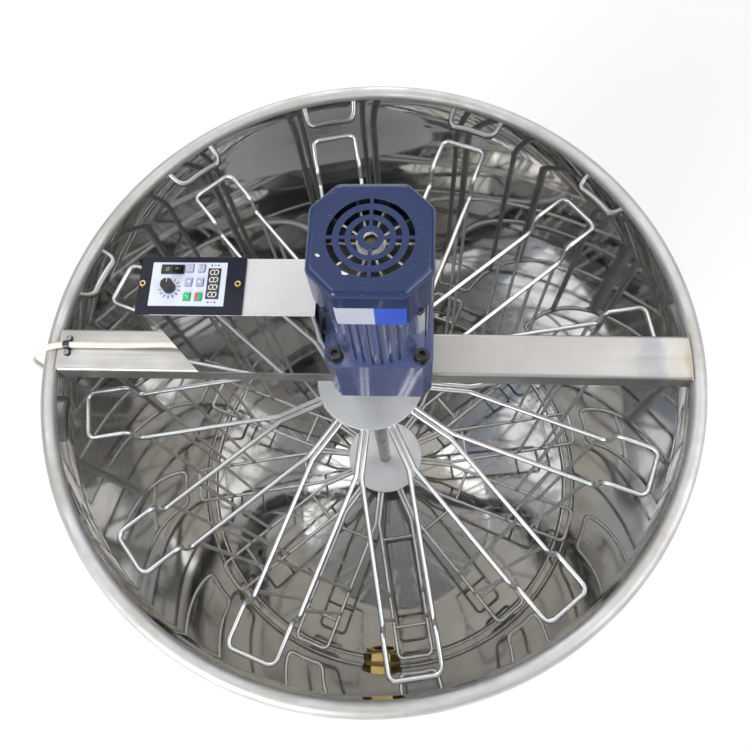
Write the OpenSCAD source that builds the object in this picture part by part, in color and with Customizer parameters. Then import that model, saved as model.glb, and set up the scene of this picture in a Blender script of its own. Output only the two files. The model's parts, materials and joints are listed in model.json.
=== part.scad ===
// Electric radial honey extractor: stainless drum on three legs, cross beam with gear motor
// and control box, welded wire basket with twelve slots, brass honey gate. Millimetres, +Z up.
// Origin: on the floor at the drum axis. +X runs along the beam to the motor side, -Y is the outlet side.

/* [Drum] */
// inner diameter of the drum
drum_d = 700; // [660:5:760]
// rim top down to the bottom seam
drum_depth = 655; // [620:5:720]
// stainless sheet of wall and bottom
sheet_t = 1.2; // [0.8:0.1:2]
// rolled rim bead across
rim_d = 17; // [12:1:22]
// height of the conical bottom
cone_rise = 45; // [25:1:60]
// flat top of the cone across
cone_flat_d = 100; // [90:1:140]
// bead beside the bottom seam across
seam_bead_d = 5; // [3:0.5:8]
// collar of the bottom around the wall, height
collar_h = 5; // [3:0.5:5.5]

/* [Stand] */
// bottom seam above the floor
seam_h = 295; // [250:5:400]
// leg tube outer diameter
leg_d = 32; // [25:1:45]
// leg tube wall
leg_wall = 2; // [1.5:0.1:4]
// saddle plate on the drum, height
saddle_h = 130; // [80:5:200]
// saddle plate, thickness
saddle_t = 3; // [2:0.5:6]
// saddle plate, degrees of the drum it covers
saddle_deg = 15; // [10:1:24]
// foot plate diameter
foot_d = 84; // [76:1:120]
// foot plate thickness
foot_t = 5; // [3:0.5:10]
// anchor hole diameter
anchor_d = 9; // [6:0.5:14]
// anchor hole, outward from the leg axis
anchor_out = 27; // [24:1:40]

/* [Cross beam] */
// beam width
beam_w = 50; // [44:1:70]
// beam depth
beam_h = 25; // [15:1:40]
// beam sheet
beam_t = 2.5; // [2:0.1:4]
// outer radius of the beam's folds
fold_r = 4; // [3:0.5:8]

/* [Gear motor] */
// square of gear case and motor flange
motor_w = 104; // [100:1:110]
// bolt circle of the gear case
bolt_pcd = 116; // [114:1:117]
// bolt shank
bolt_d = 8; // [6:1:8]
// motor axis away from the output axis
motor_off = 20; // [12:1:24]
// mounting plate thickness
plate_t = 8; // [5:1:12]
// mounting plate inside the case's outline, each side
plate_in = 2.5; // [0:0.5:2.5]
// gear case height
gear_h = 80; // [60:1:110]
// cut corners of case and flange
corner_cut = 10; // [6:1:12]
// motor flange thickness
flange_t = 10; // [6:1:14]
// motor barrel across the fins
barrel_d = 98; // [92:1:100]
// motor barrel height
barrel_h = 95; // [60:1:120]
// fins around the barrel, counted all round
fin_n = 36; // [24:4:40]
// depth of the grooves between fins
fin_depth = 2.5; // [1.5:0.5:5]
// end shield thickness
shield_t = 10; // [6:1:14]
// fan cover across the flats
cover_w = 100; // [98:1:104]
// fan cover height
cover_h = 53; // [50:1:70]
// fan cover, cut corner
cover_cut = 22; // [16:1:28]
// fan cover sheet
cover_t = 1.5; // [1:0.1:2.5]
// blades of the cooling fan
blade_n = 10; // [6:1:14]
// rotor shaft diameter
rotor_d = 12; // [8:1:15]

/* [Drive] */
// output shaft of the gear case
output_d = 18; // [12:1:18]
// main shaft of the basket
shaft_d = 20; // [16:1:22]
// coupling sleeve outside
coupling_d = 38; // [34:1:42]
// coupling sleeve length
coupling_h = 56; // [40:1:64]
// bearing cup outside
cup_d = 56; // [50:1:64]
// bearing cup height
cup_h = 42; // [36:1:60]
// bearing bush outside
bush_d = 36; // [30:1:40]
// thrust ball
ball_d = 12; // [8:1:14]

/* [Basket] */
// slots around the basket
slot_n = 12; // [10:1:12]
// angle of the first slot from +X
slot_turn = 10.3; // [0:0.1:29.9]
// wire rod of the loops
rod_d = 6; // [5:0.5:7]
// slot width between rod centres
slot_w = 56; // [48:1:58]
// loops' outer ends clear of the drum wall
wall_gap = 9; // [8:0.5:30]
// raised ends of the upper loops, length
step_l = 49; // [36:1:70]
// step of the upper loops
step_h = 30; // [22:1:40]
// bend radius of the rods
bend_r = 9; // [7:0.5:10]
// rim top down to the upper loops
upper_drop = 93; // [88:1:120]
// lower loops above the bottom seam
sump_h = 130; // [120:1:180]
// upright rods
upright_d = 5; // [4:0.5:6]
// inner uprights, inward from the loops' outer ends
upright_in = 101; // [80:1:130]
// inner rungs of the lower loops, outward from the turn of the rails
rung_out = 27; // [20:1:60]
// hub discs across
disc_d = 130; // [110:1:160]
// hub disc thickness
disc_t = 3; // [2:0.5:5]
// hub sleeve under the disc, length
hub_h = 22; // [15:1:24]

/* [Control box] */
// box length
box_l = 151; // [120:1:156]
// box width
box_w = 57; // [54:1:66]
// box height
box_h = 155; // [120:1:180]
// box sheet
box_t = 1.5; // [1:0.1:2.5]
// face plate length
face_l = 97; // [96:1:106]
// face plate width
face_w = 57; // [55:1:64]
// face plate thickness
face_t = 3; // [2:0.5:5]
// face plate past the end of the box
face_out = 12; // [8:1:14]
// white panel sheet thickness
sheet_label_t = 0.4; // [0.2:0.1:0.8]
// knob diameter
knob_d = 11.5; // [10:0.5:15]
// knob height
knob_h = 10; // [8:0.5:16]
// key length
key_l = 7.6; // [6:0.2:8.6]
// key width
key_w = 6.2; // [5:0.2:7]
// key travel
key_travel = 0.6; // [0.3:0.1:1]
// rocker tilt to each side in degrees
rocker_tilt = 8; // [5:1:9]

/* [Outlet] */
// pipe outside
pipe_d = 48; // [42:0.5:50]
// pipe bore
pipe_bore = 40; // [34:0.5:42]
// pipe axis above the seam
outlet_up = 38; // [36:1:60]
// lock nut across flats
nut_af = 56; // [54:1:60]
// lock nut thickness
nut_t = 12; // [8:1:16]
// gate plate thickness
gate_t = 5; // [4:0.5:8]
// pivot and latch, each side of the pipe axis
gate_reach = 42; // [40:1:50]
// gate swing in degrees
gate_swing = 95; // [80:5:110]

/* [Mains lead] */
// cable diameter
cable_d = 7; // [6:0.1:8]
// coil: turns of each layer
coil_turns = 2.25; // [1.25:1:3.25]

/* [Fits] */
// running clearance of shafts, radial
run_gap = 0.05; // [0.02:0.01:0.1]
// seated faces and pressed pieces
seat_gap = 0.02; // [0.01:0.01:0.05]
// clearance holes for bolts, radial
bolt_gap = 0.3; // [0.2:0.1:0.6]
// free moving pieces beside their frames
free_gap = 0.3; // [0.2:0.05:0.5]

/* [Hidden] */
$fn = 96;
drum_r = drum_d / 2;
seam_z = seam_h;
rim_z = seam_z + drum_depth;
apex_z = seam_z + cone_rise;
wall_r = drum_r + sheet_t;
collar_r = wall_r + seat_gap + sheet_t;
// rim bead: centre of the roll
roll_x = drum_r + rim_d / 2 - 0.3;
roll_z = rim_z - rim_d / 2;
rim_out = roll_x + rim_d / 2;
// legs
leg_r = wall_r + seat_gap + saddle_t + leg_d / 2 - 1;
saddle_z = seam_z + collar_h + 8;
anchor_pcd = 2 * (leg_r + anchor_out);
// cross beam
beam_end_r = drum_r - 0.3 - seat_gap;
// heights of the motor stack
plate_z = rim_z;
gear_z = plate_z + plate_t;
flange_z = gear_z + gear_h;
barrel_z = flange_z + flange_t;
shield_z = barrel_z + barrel_h;
cover_z = shield_z + 4;
cover_top = cover_z + cover_h;
bolt_at = bolt_pcd / 2 / sqrt(2);
washer_t = 0.2 * bolt_d;
groove_w = 0.38 * PI * barrel_d / fin_n;
boss_d = 40;
fan_h = cover_h - shield_t - 9;
boss_h = plate_t + 6;
// drive
coupling_z = rim_z - 12 - coupling_h;
coupling_mid = coupling_z + coupling_h / 2;
ball_z = apex_z + 3 + seat_gap + ball_d / 2;
shaft_z = ball_z + ball_d / 2 + seat_gap;
// basket
rod_r = rod_d / 2;
half_w = slot_w / 2;
slot_a = 180 / slot_n;
upper_z = rim_z - upper_drop;
lower_z = seam_z + sump_h;
basket_h = upper_z - lower_z;
loop_r = drum_r - wall_gap - rod_r;
step_r = loop_r - step_l;
upright_r = loop_r - upright_in;
knee_d = rod_d + 0.6;
spoke_off = knee_d / 2 + 0.05;
knee_x = (half_w + spoke_off / cos(slot_a)) / tan(slot_a);
hub_d = shaft_d + 14;
spoke_r0 = hub_d;
rung_r = knee_x + rung_out;
out_upright_r = step_r - bend_r - upright_d / 2 - 0.5;
// control box
box_x1 = motor_off - motor_w / 2 - 2;
box_x0 = box_x1 - box_l;
box_y0 = -beam_w / 2;
box_y1 = box_y0 + box_w;
box_top = rim_z + box_h;
face_x0 = box_x0 - face_out;
face_y1 = box_y1;
face_z = box_top + seat_gap;
panel_z = face_z + face_t + seat_gap;
case_d = 60;
case_x0 = box_x0 + box_t + 1.5;
case_l = 72;
case_w = 48;
case_y0 = face_y1 - face_w + 4;
knob_at = [29.4, 32];
rocker_at = [30.5, 13.2];
rocker_l = 18;
rocker_w = 6.2;
key_col = [46.3, 56.8];
key_row = [12, 26, 40.4];
display_at = [69.1, 27.2];
display_l = 30.5;
display_w = 11.8;
screw_at = [[4.2, 27.5], [91.7, 27.5]];
rocker_z = panel_z - 0.5;
// outlet
outlet_z = seam_z + outlet_up;
nut_z = drum_r - 4 - nut_t;
seal_in_z = drum_r - 4 + seat_gap;
seal_out_z = drum_r + 6;
body_z = seal_out_z + seat_gap;
gate_face = body_z + 30;
gate_z = gate_face + 0.2;
wing_z = gate_z + gate_t + 0.4;
// mains lead
lead_y = 4;
lead_z = rim_z + 8;
lie_z = rim_z + cable_d / 2 + 0.1;
floor_z = cable_d / 2 + 0.1;
coil_pitch = cable_d + 0.6;
coil_rise = cable_d + 0.5;
coil_in = 4.7 * cable_d;
coil_out = coil_in + coil_turns * coil_pitch;
coil_at = [60 - drum_r, -6 + coil_out];
coil_steps = 24;
plug_lead = 6 * cable_d;
plug_x = coil_at[0] + plug_lead;
plug_z = floor_z + coil_rise;
clip_x = -(drum_r - 12);
relief_l = 30;
hang_x = -(rim_out + 23);
clip_span = 8.4;
// cable: corner points, each rounded with the radius that stands beside it
lead_pts = [
    [box_x0 - relief_l, lead_y, lead_z], [box_x0 - relief_l - 12, lead_y, lead_z],
    [box_x0 - relief_l - 60, lead_y, lie_z], [5 - drum_r, lead_y, lie_z], [hang_x, -6, lie_z],
    [hang_x, -6, floor_z], [coil_at[0] - cable_d, -6, floor_z]];
lead_rad = [0, 60, 120, 60, 32, 32, 0];

// rods bent from straight runs and quarter bends
function unit(v) = v / norm(v);
function turn_at(a, b, c) = acos(max(-1, min(1, unit(b - a) * unit(c - b))));
function setback(a, b, c, r) = r * tan(turn_at(a, b, c) / 2);

module place(o, x, y) {
    z = cross(x, y);
    multmatrix([[x[0], y[0], z[0], o[0]], [x[1], y[1], z[1], o[1]], [x[2], y[2], z[2], o[2]],
        [0, 0, 0, 1]]) children();
}

module straight(a, b, d) {
    u = unit(b - a);
    side = abs(u[2]) > 0.9 ? [1, 0, 0] : [0, 0, 1];
    place(a, side, cross(u, side)) cylinder(d = d, h = norm(b - a), $fn = 32);
}

module bend(a, b, c, r, d) {
    u = unit(b - a);
    w = unit(c - b);
    n = unit(w - u * (w * u));
    place(b - u * setback(a, b, c, r) + n * r, -n, u)
        rotate_extrude(angle = turn_at(a, b, c)) translate([r, 0]) circle(d = d, $fn = 32);
}

module rod(p, r, d) {
    last = len(p) - 1;
    for (i = [0 : last - 1]) {
        u = unit(p[i + 1] - p[i]);
        s0 = i == 0 ? 0 : setback(p[i - 1], p[i], p[i + 1], r);
        s1 = i == last - 1 ? 0 : setback(p[i], p[i + 1], p[i + 2], r);
        straight(p[i] + u * s0, p[i + 1] - u * s1, d);
    }
    for (i = [1 : last - 1]) bend(p[i - 1], p[i], p[i + 1], r, d);
}

// flat shapes
module rounded(w, h, r) {
    square([w - 2 * r, h], center = true);
    square([w, h - 2 * r], center = true);
    for (x = [-1, 1], y = [-1, 1])
        translate([x * (w / 2 - r), y * (h / 2 - r)]) circle(r = r);
}

module cut_square(w, c) {
    h = w / 2;
    polygon([[c - h, -h], [h - c, -h], [h, c - h], [h, h - c], [h - c, h], [c - h, h], [-h, h - c],
        [-h, c - h]]);
}

module ring(d_out, d_in, h) {
    difference() {
        cylinder(d = d_out, h = h);
        translate([0, 0, -1]) cylinder(d = d_in, h = h + 2);
    }
}

module at_outlet() {
    translate([0, 0, outlet_z]) rotate([90, 0, 0]) children();
}

module at_motor(z) {
    translate([motor_off, 0, z]) children();
}

module at_bolts() {
    for (x = [-1, 1], y = [-1, 1]) translate([x * bolt_at, y * bolt_at, 0]) children();
}

// panel positions are counted from the face plate's far left corner
module at_panel(p, z) {
    translate([face_x0 + p[0], face_y1 - p[1], z]) children();
}

module drum_wall() color("silver") {
    difference() {
        rotate_extrude() {
            translate([drum_r, seam_z + seat_gap]) square([sheet_t, drum_depth - rim_d / 2 - 3]);
            translate([roll_x, roll_z]) difference() {
                circle(d = rim_d);
                circle(d = rim_d - 2.8);
            }
        }
        at_outlet() cylinder(d = pipe_d + 2 * bolt_gap, h = drum_d);
    }
}

module drum_bottom() color("silver") {
    edge = drum_r - 12;
    flat = cone_flat_d / 2;
    rotate_extrude() {
        polygon([[0, apex_z - sheet_t], [flat, apex_z - sheet_t], [edge, seam_z - sheet_t],
            [collar_r, seam_z - sheet_t], [collar_r, seam_z + collar_h],
            [collar_r - sheet_t, seam_z + collar_h], [collar_r - sheet_t, seam_z],
            [edge, seam_z], [flat, apex_z], [0, apex_z]]);
        translate([drum_r - 7, seam_z]) circle(d = seam_bead_d, $fn = 32);
    }
}

module leg(a) color("silver") {
    rotate([0, 0, a]) {
        difference() {
            union() {
                translate([leg_r, 0, 0]) cylinder(d = leg_d, h = saddle_z + saddle_h - 10);
                rotate([0, 0, -saddle_deg / 2]) rotate_extrude(angle = saddle_deg)
                    translate([wall_r + seat_gap, saddle_z]) square([saddle_t, saddle_h]);
                translate([leg_r, 0, 0]) cylinder(d = foot_d, h = foot_t);
            }
            translate([leg_r, 0, foot_t])
                cylinder(d = leg_d - 2 * leg_wall, h = saddle_z + saddle_h - 10 - foot_t - leg_wall);
            translate([leg_r + anchor_out, 0, -1]) cylinder(d = anchor_d, h = foot_t + 2);
        }
    }
}

module leg_1() leg(90);
module leg_2() leg(210);
module leg_3() leg(330);

module beam_section() {
    difference() {
        union() {
            translate([-beam_w / 2, -beam_h]) square([beam_w, beam_h - fold_r]);
            translate([fold_r - beam_w / 2, -beam_h]) square([beam_w - 2 * fold_r, beam_h]);
            for (x = [-1, 1]) translate([x * (beam_w / 2 - fold_r), -fold_r]) circle(r = fold_r);
        }
        translate([beam_t - beam_w / 2, -beam_h - 1])
            square([beam_w - 2 * beam_t, beam_h + 1 - beam_t]);
    }
}

module cross_beam() color("silver") {
    difference() {
        intersection() {
            translate([-drum_r, 0, rim_z]) rotate([90, 0, 90])
                linear_extrude(drum_d) beam_section();
            translate([0, 0, rim_z - 2 * beam_h]) cylinder(r = beam_end_r, h = 3 * beam_h);
        }
        translate([0, 0, rim_z - beam_h]) cylinder(d = boss_d + 3, h = 2 * beam_h);
        for (y = [-1, 1]) translate([clip_x, lead_y + y * clip_span, rim_z - beam_h])
            cylinder(d = 4 + 2 * seat_gap, h = 2 * beam_h, $fn = 32);
    }
}

module motor_plate() color("silver") {
    difference() {
        at_motor(plate_z + seat_gap) linear_extrude(plate_t - 2 * seat_gap)
            cut_square(motor_w - 2 * plate_in, corner_cut - plate_in / 2);
        translate([0, 0, plate_z - 1]) cylinder(d = boss_d + 1, h = plate_t + 2);
        at_motor(plate_z - 1) at_bolts() cylinder(d = bolt_d + 2 * bolt_gap, h = plate_t + 2);
    }
}

module gear_case() color("slategray") {
    difference() {
        union() {
            at_motor(gear_z) linear_extrude(gear_h - seat_gap) cut_square(motor_w, corner_cut);
            translate([0, 0, gear_z - boss_h]) cylinder(d = boss_d, h = boss_h + 1);
        }
        translate([0, 0, gear_z - boss_h - 1])
            cylinder(d = output_d + 2 * run_gap, h = boss_h + 45);
        at_motor(gear_z - 1) at_bolts() cylinder(d = bolt_d + 2 * bolt_gap, h = gear_h + 2);
    }
}

module gear_bolts() color("gray") {
    at_motor(barrel_z + seat_gap) at_bolts() difference() {
        union() {
            cylinder(d = 2 * bolt_d, h = washer_t);
            translate([0, 0, washer_t]) cylinder(d = 1.625 * bolt_d, h = bolt_d);
            translate([0, 0, plate_z - barrel_z - bolt_d])
                cylinder(d = bolt_d, h = barrel_z - plate_z + bolt_d + washer_t);
        }
        translate([0, 0, washer_t + 0.4 * bolt_d]) cylinder(d = 0.87 * bolt_d, h = bolt_d, $fn = 6);
    }
}

module gear_nuts() color("gray") {
    at_motor(plate_z - 0.8 * bolt_d) at_bolts() difference() {
        cylinder(d = 1.875 * bolt_d, h = 0.8 * bolt_d - seat_gap, $fn = 6);
        translate([0, 0, -1]) cylinder(d = bolt_d + 2 * seat_gap, h = 2 * bolt_d);
    }
}

module motor_body() color("slategray") {
    at_motor(flange_z) difference() {
        union() {
            linear_extrude(flange_t) cut_square(motor_w, corner_cut);
            translate([0, 0, flange_t - 1]) linear_extrude(barrel_h + 2) difference() {
                circle(d = barrel_d);
                for (i = [0 : fin_n - 1]) let (a = (i + 0.5) * 360 / fin_n)
                    if (abs(a % 90 - 45) > 15) rotate([0, 0, a])
                        translate([barrel_d / 2 - fin_depth, -groove_w / 2])
                            square([fin_depth + 3, groove_w]);
                at_bolts() circle(d = 17, $fn = 48);
            }
            translate([0, 0, flange_t + barrel_h]) linear_extrude(shield_t)
                cut_square(cover_w - 2 * cover_t - 0.2, cover_cut - 0.8);
        }
        at_bolts() translate([0, 0, -1]) cylinder(d = bolt_d + 2 * bolt_gap, h = flange_t + 2);
        translate([0, 0, flange_t + barrel_h - 40])
            cylinder(d = rotor_d + 2 * run_gap, h = 40 + shield_t + 1);
    }
}

module slot_ring(r0, r1) {
    difference() {
        circle(r = r1);
        circle(r = r0);
        square([2 * r1 + 1, 3], center = true);
        square([3, 2 * r1 + 1], center = true);
    }
}

module fan_cover() color("steelblue") {
    at_motor(cover_z) difference() {
        linear_extrude(cover_h) cut_square(cover_w, cover_cut);
        translate([0, 0, -1]) linear_extrude(cover_h + 1 - cover_t)
            cut_square(cover_w - 2 * cover_t, cover_cut - 0.8);
        translate([0, 0, cover_h - 5]) linear_extrude(10) {
            slot_ring(30, 34.5);
            slot_ring(20, 24.5);
            slot_ring(10.5, 15.5);
            circle(r = 5.5);
        }
        for (a = [0 : 90 : 270]) rotate([0, 0, 45 + a]) translate([0, 0, 3]) rotate([0, 90, 0])
            cylinder(d = 3.4, h = motor_w, $fn = 32);
    }
}

module cover_screws() color("gray") {
    corner = (cover_w - cover_cut) / sqrt(2);
    at_motor(cover_z + 3) for (a = [0 : 90 : 270]) rotate([0, 0, 45 + a]) rotate([0, 90, 0]) {
        translate([0, 0, corner + seat_gap]) cylinder(d = 6.5, h = 2.2, $fn = 32);
        translate([0, 0, corner - cover_t - 0.02]) cylinder(d = 3, h = cover_t + 1, $fn = 32);
    }
}

module cooling_fan() color("dimgray") {
    at_motor(shield_z + shield_t + 4) difference() {
        union() {
            cylinder(d = 24, h = fan_h);
            cylinder(d = 84, h = 2);
            for (i = [0 : blade_n - 1]) rotate([0, 0, i * 360 / blade_n])
                translate([10, -1, 1]) cube([31, 2, fan_h - 2]);
        }
        translate([0, 0, -1]) cylinder(d = rotor_d + 2 * seat_gap, h = fan_h + 2);
    }
}

module rotor_shaft() color("gray") {
    at_motor(shield_z - 38) cylinder(d = rotor_d, h = shield_t + 38 + fan_h + 7);
}

module output_shaft() color("gray") {
    translate([0, 0, coupling_mid + 0.2])
        cylinder(d = output_d, h = gear_z + 42 - coupling_mid);
}

module shaft_coupling() color("silver") {
    difference() {
        translate([0, 0, coupling_z]) cylinder(d = coupling_d, h = coupling_h);
        translate([0, 0, coupling_mid]) cylinder(d = output_d + 2 * seat_gap, h = coupling_h);
        translate([0, 0, coupling_z - 1])
            cylinder(d = shaft_d + 2 * seat_gap, h = coupling_h / 2 + 1);
        for (z = [0.25, 0.75]) translate([0, 0, coupling_z + z * coupling_h]) rotate([90, 0, 0])
            cylinder(d = 6 + 2 * seat_gap, h = coupling_d, $fn = 32);
    }
}

module coupling_screws() color("dimgray") {
    for (z = [0.25, 0.75]) translate([0, 0, coupling_z + z * coupling_h]) rotate([90, 0, 0]) {
        start = (z < 0.5 ? shaft_d : output_d) / 2 + seat_gap;
        difference() {
            translate([0, 0, start]) cylinder(d = 6, h = coupling_d / 2 - 0.5 - start, $fn = 32);
            translate([0, 0, coupling_d / 2 - 3.5]) cylinder(d = 3.4, h = 6, $fn = 6);
        }
    }
}

module main_shaft() color("gray") {
    translate([0, 0, shaft_z]) cylinder(d = shaft_d, h = coupling_mid - 0.2 - shaft_z);
}

module hub(z) color("silver") {
    difference() {
        union() {
            translate([0, 0, z + rod_r + seat_gap]) cylinder(d = disc_d, h = disc_t);
            translate([0, 0, z - hub_h]) cylinder(d = hub_d, h = hub_h + rod_r + disc_t / 2);
        }
        translate([0, 0, z - 2 * hub_h]) cylinder(d = shaft_d + 2 * seat_gap, h = 4 * hub_h);
    }
}

module upper_hub() hub(upper_z);
module lower_hub() hub(lower_z);

// spokes of one loop: two straight wires from the hub disc, turned onto the slot's rails
module spokes() {
    for (s = [-1, 1]) {
        translate([knee_x, s * half_w, 0]) sphere(d = knee_d, $fn = 32);
        rotate([0, 0, s * slot_a]) translate([spoke_r0, -s * spoke_off, 0]) rotate([0, 90, 0])
            cylinder(d = rod_d, h = norm([knee_x, half_w]) * cos(atan2(half_w, knee_x) - slot_a)
                - spoke_r0 - 1, $fn = 32);
    }
}

module upper_loop() {
    spokes();
    rod([[knee_x + 1, -half_w, 0], [step_r, -half_w, 0], [step_r, -half_w, step_h],
        [loop_r, -half_w, step_h], [loop_r, half_w, step_h], [step_r, half_w, step_h],
        [step_r, half_w, 0], [knee_x + 1, half_w, 0]], bend_r, rod_d);
}

module lower_loop() {
    spokes();
    rod([[knee_x + 1, -half_w, 0], [loop_r, -half_w, 0], [loop_r, half_w, 0],
        [knee_x + 1, half_w, 0]], bend_r, rod_d);
}

module at_slots(z) {
    for (i = [0 : slot_n - 1]) rotate([0, 0, slot_turn + i * 360 / slot_n])
        translate([0, 0, z]) children();
}

module upper_loops() color("silver") at_slots(upper_z) upper_loop();

module lower_loops() color("silver") at_slots(lower_z) lower_loop();

module uprights() color("silver") {
    at_slots(lower_z + rod_r + seat_gap) for (x = [upright_r, out_upright_r], s = [-1, 1])
        translate([x, s * half_w, 0])
            cylinder(d = upright_d, h = basket_h - rod_d - 2 * seat_gap, $fn = 32);
}

module rungs() color("silver") {
    reach = half_w - rod_r - seat_gap;
    at_slots(lower_z) for (x = [rung_r, step_r]) translate([x, -reach, 0]) rotate([-90, 0, 0])
        cylinder(d = upright_d, h = 2 * reach, $fn = 32);
}

module bearing_cup() color("silver") {
    translate([0, 0, apex_z + seat_gap]) difference() {
        union() {
            cylinder(d = cup_d, h = cup_h);
            cylinder(d = cone_flat_d - 6, h = 3);
        }
        translate([0, 0, 3]) cylinder(d = bush_d + 2 * seat_gap, h = cup_h);
    }
}

module bearing_bush() color("khaki") {
    translate([0, 0, apex_z + 3 + 2 * seat_gap]) difference() {
        union() {
            cylinder(d = bush_d, h = cup_h - 3);
            translate([0, 0, cup_h - 3]) cylinder(d = cup_d - 4, h = 4);
        }
        translate([0, 0, -1]) cylinder(d = shaft_d + 2 * run_gap, h = cup_h + 8);
    }
}

module thrust_ball() color("gray") {
    translate([0, 0, ball_z]) sphere(d = ball_d);
}

module control_box() color("silver") {
    difference() {
        translate([box_x0, box_y0, rim_z + seat_gap]) cube([box_l, box_w, box_h - seat_gap]);
        translate([box_x0 + box_t, box_y0 + box_t, rim_z - 1])
            cube([box_l - 2 * box_t, box_w - 2 * box_t, box_h + 1 - box_t]);
        translate([case_x0 - 0.2, case_y0 - 0.2, box_top - 5])
            cube([case_l + 0.4, case_w + 0.4, 10]);
        translate([box_x0 - 1, lead_y, lead_z]) rotate([0, 90, 0])
            cylinder(d = 11 + 2 * seat_gap, h = box_t + 2);
        at_panel(screw_at[1], box_top - 10) cylinder(d = 4 + 2 * seat_gap, h = 20, $fn = 32);
    }
}

module controller_case() color("dimgray") {
    difference() {
        translate([case_x0, case_y0, face_z - seat_gap - case_d])
            cube([case_l, case_w, case_d]);
        at_panel(rocker_at, face_z - 8) linear_extrude(20)
            square([rocker_l + 3, rocker_w + 2.2], center = true);
        at_panel(knob_at, face_z - 8) cylinder(d = 6 + 2 * run_gap, h = 20, $fn = 32);
    }
}

module panel_holes(grow) {
    for (x = key_col, y = key_row) translate([x, -y])
        square([key_w + 2 * grow, key_l + 2 * grow], center = true);
    translate([rocker_at[0], -rocker_at[1]])
        square([rocker_l + 2.4 + 2 * seat_gap, rocker_w + 1.8 + 2 * seat_gap], center = true);
}

module face_plate() color("midnightblue") {
    difference() {
        translate([face_x0, face_y1, face_z]) linear_extrude(face_t) difference() {
            translate([face_l / 2, -face_w / 2]) rounded(face_l, face_w, 0.8);
            panel_holes(free_gap);
            translate([knob_at[0], -knob_at[1]]) circle(d = 6 + 2 * run_gap, $fn = 32);
        }
        for (p = screw_at) at_panel(p, face_z - 1)
            cylinder(d = 4 + 2 * seat_gap, h = face_t + 2, $fn = 32);
    }
}

module panel_sheet() color("lavender") {
    translate([face_x0, face_y1, panel_z]) linear_extrude(sheet_label_t) difference() {
        translate([45.8, -27.7]) rounded(69, 43.5, 0.6);
        panel_holes(free_gap);
        translate([knob_at[0], -knob_at[1]]) circle(d = 7, $fn = 32);
        translate([display_at[0], -display_at[1]])
            square([display_w + 0.04, display_l + 0.04], center = true);
    }
}

module display() color("black") {
    at_panel(display_at, panel_z) linear_extrude(1) square([display_w, display_l], center = true);
}

module rocker_frame() color("black") {
    at_panel(rocker_at, panel_z + sheet_label_t + seat_gap) difference() {
        union() {
            linear_extrude(1.1) rounded(rocker_l + 3.6, rocker_w + 3, 0.8);
            translate([0, 0, -8]) linear_extrude(8.5)
                square([rocker_l + 2.4, rocker_w + 1.8], center = true);
        }
        translate([0, 0, -9]) linear_extrude(20)
            square([rocker_l + 1.2, rocker_w + 2 * free_gap], center = true);
        translate([0, 10, rocker_z - panel_z - sheet_label_t - seat_gap]) rotate([90, 0, 0])
            cylinder(d = 2 + 2 * run_gap, h = 20, $fn = 32);
    }
}

module rocker() color("black") {
    half = rocker_l / 2;
    at_panel(rocker_at, rocker_z) rotate([90, -rocker_tilt, 0]) {
        translate([0, 0, -rocker_w / 2]) linear_extrude(rocker_w)
            polygon([[-half, 3.6], [-half, -1.5], [-4, -3], [4, -3], [half, -1.5], [half, 3.6],
                [0, 2.2]]);
        translate([0, 0, -rocker_w / 2 - 0.8]) cylinder(d = 2, h = rocker_w + 1.6, $fn = 32);
    }
}

module knob() color("black") {
    at_panel(knob_at, panel_z + sheet_label_t + 0.3) {
        difference() {
            linear_extrude(knob_h) difference() {
                circle(d = knob_d);
                for (i = [0 : 17]) rotate([0, 0, i * 20]) translate([knob_d / 2 + 0.4, 0])
                    circle(d = 1.8, $fn = 24);
            }
            translate([-0.6, 1.5, knob_h - 0.6]) cube([1.2, knob_d, 2]);
        }
        translate([0, 0, -9]) cylinder(d = 6, h = 10, $fn = 32);
    }
}

module key(i) color(i < 4 ? "lightsteelblue" : "green") {
    at_panel([key_col[i % 2], key_row[floor(i / 2)]], face_z + key_travel + 0.2)
        linear_extrude(face_t + sheet_label_t + 0.8) rounded(key_w, key_l, 0.8);
}

module key_1() key(0);
module key_2() key(1);
module key_3() key(2);
module key_4() key(3);
module key_5() key(4);
module key_6() key(5);

module plate_screws() color("goldenrod") {
    for (p = screw_at) at_panel(p, face_z + face_t + seat_gap) {
        under = face_t + 2 * seat_gap + (p[0] < face_out ? 0 : box_t + seat_gap);
        difference() {
            union() {
                cylinder(d = 7, h = 1);
                cylinder(d = 5.6, h = 1.8);
                translate([0, 0, -under - 4]) cylinder(d = 4, h = under + 4.5, $fn = 32);
                translate([0, 0, -under - 3]) cylinder(d = 7, h = 3, $fn = 6);
            }
            translate([0, 0, 0.6]) cylinder(d = 3.2, h = 2, $fn = 32);
        }
    }
}

module grommet() color("ivory") {
    translate([box_x0, lead_y, lead_z]) rotate([0, 90, 0]) difference() {
        union() {
            translate([0, 0, -2.5]) cylinder(d = 14, h = 2.5 - seat_gap);
            translate([0, 0, -relief_l]) rotate_extrude()
                polygon([[0, 0], [cable_d / 2 + 0.6, 0], [5.5, relief_l - 2], [0, relief_l - 2]]);
            translate([0, 0, -2]) cylinder(d = 11, h = box_t + 3);
            translate([0, 0, box_t + seat_gap]) cylinder(d = 14, h = 2);
        }
        translate([0, 0, -relief_l + 1]) cylinder(d = 5, h = relief_l + 10);
    }
}

// tube through ring centres; each ring lies across the run of the points beside it
function tangent(p, i) = unit(p[min(i + 1, len(p) - 1)] - p[max(i - 1, 0)]);
function side_of(t) = abs(t[1]) > 0.8 ? unit(cross(t, [0, 0, 1])) : unit(cross(t, [0, 1, 0]));
function tube_ring(p, i, d, n) =
    let (t = tangent(p, i), u = side_of(t), v = cross(t, u))
    [for (k = [0 : n - 1]) p[i] + d / 2 * (cos(k * 360 / n) * u + sin(k * 360 / n) * v)];

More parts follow.
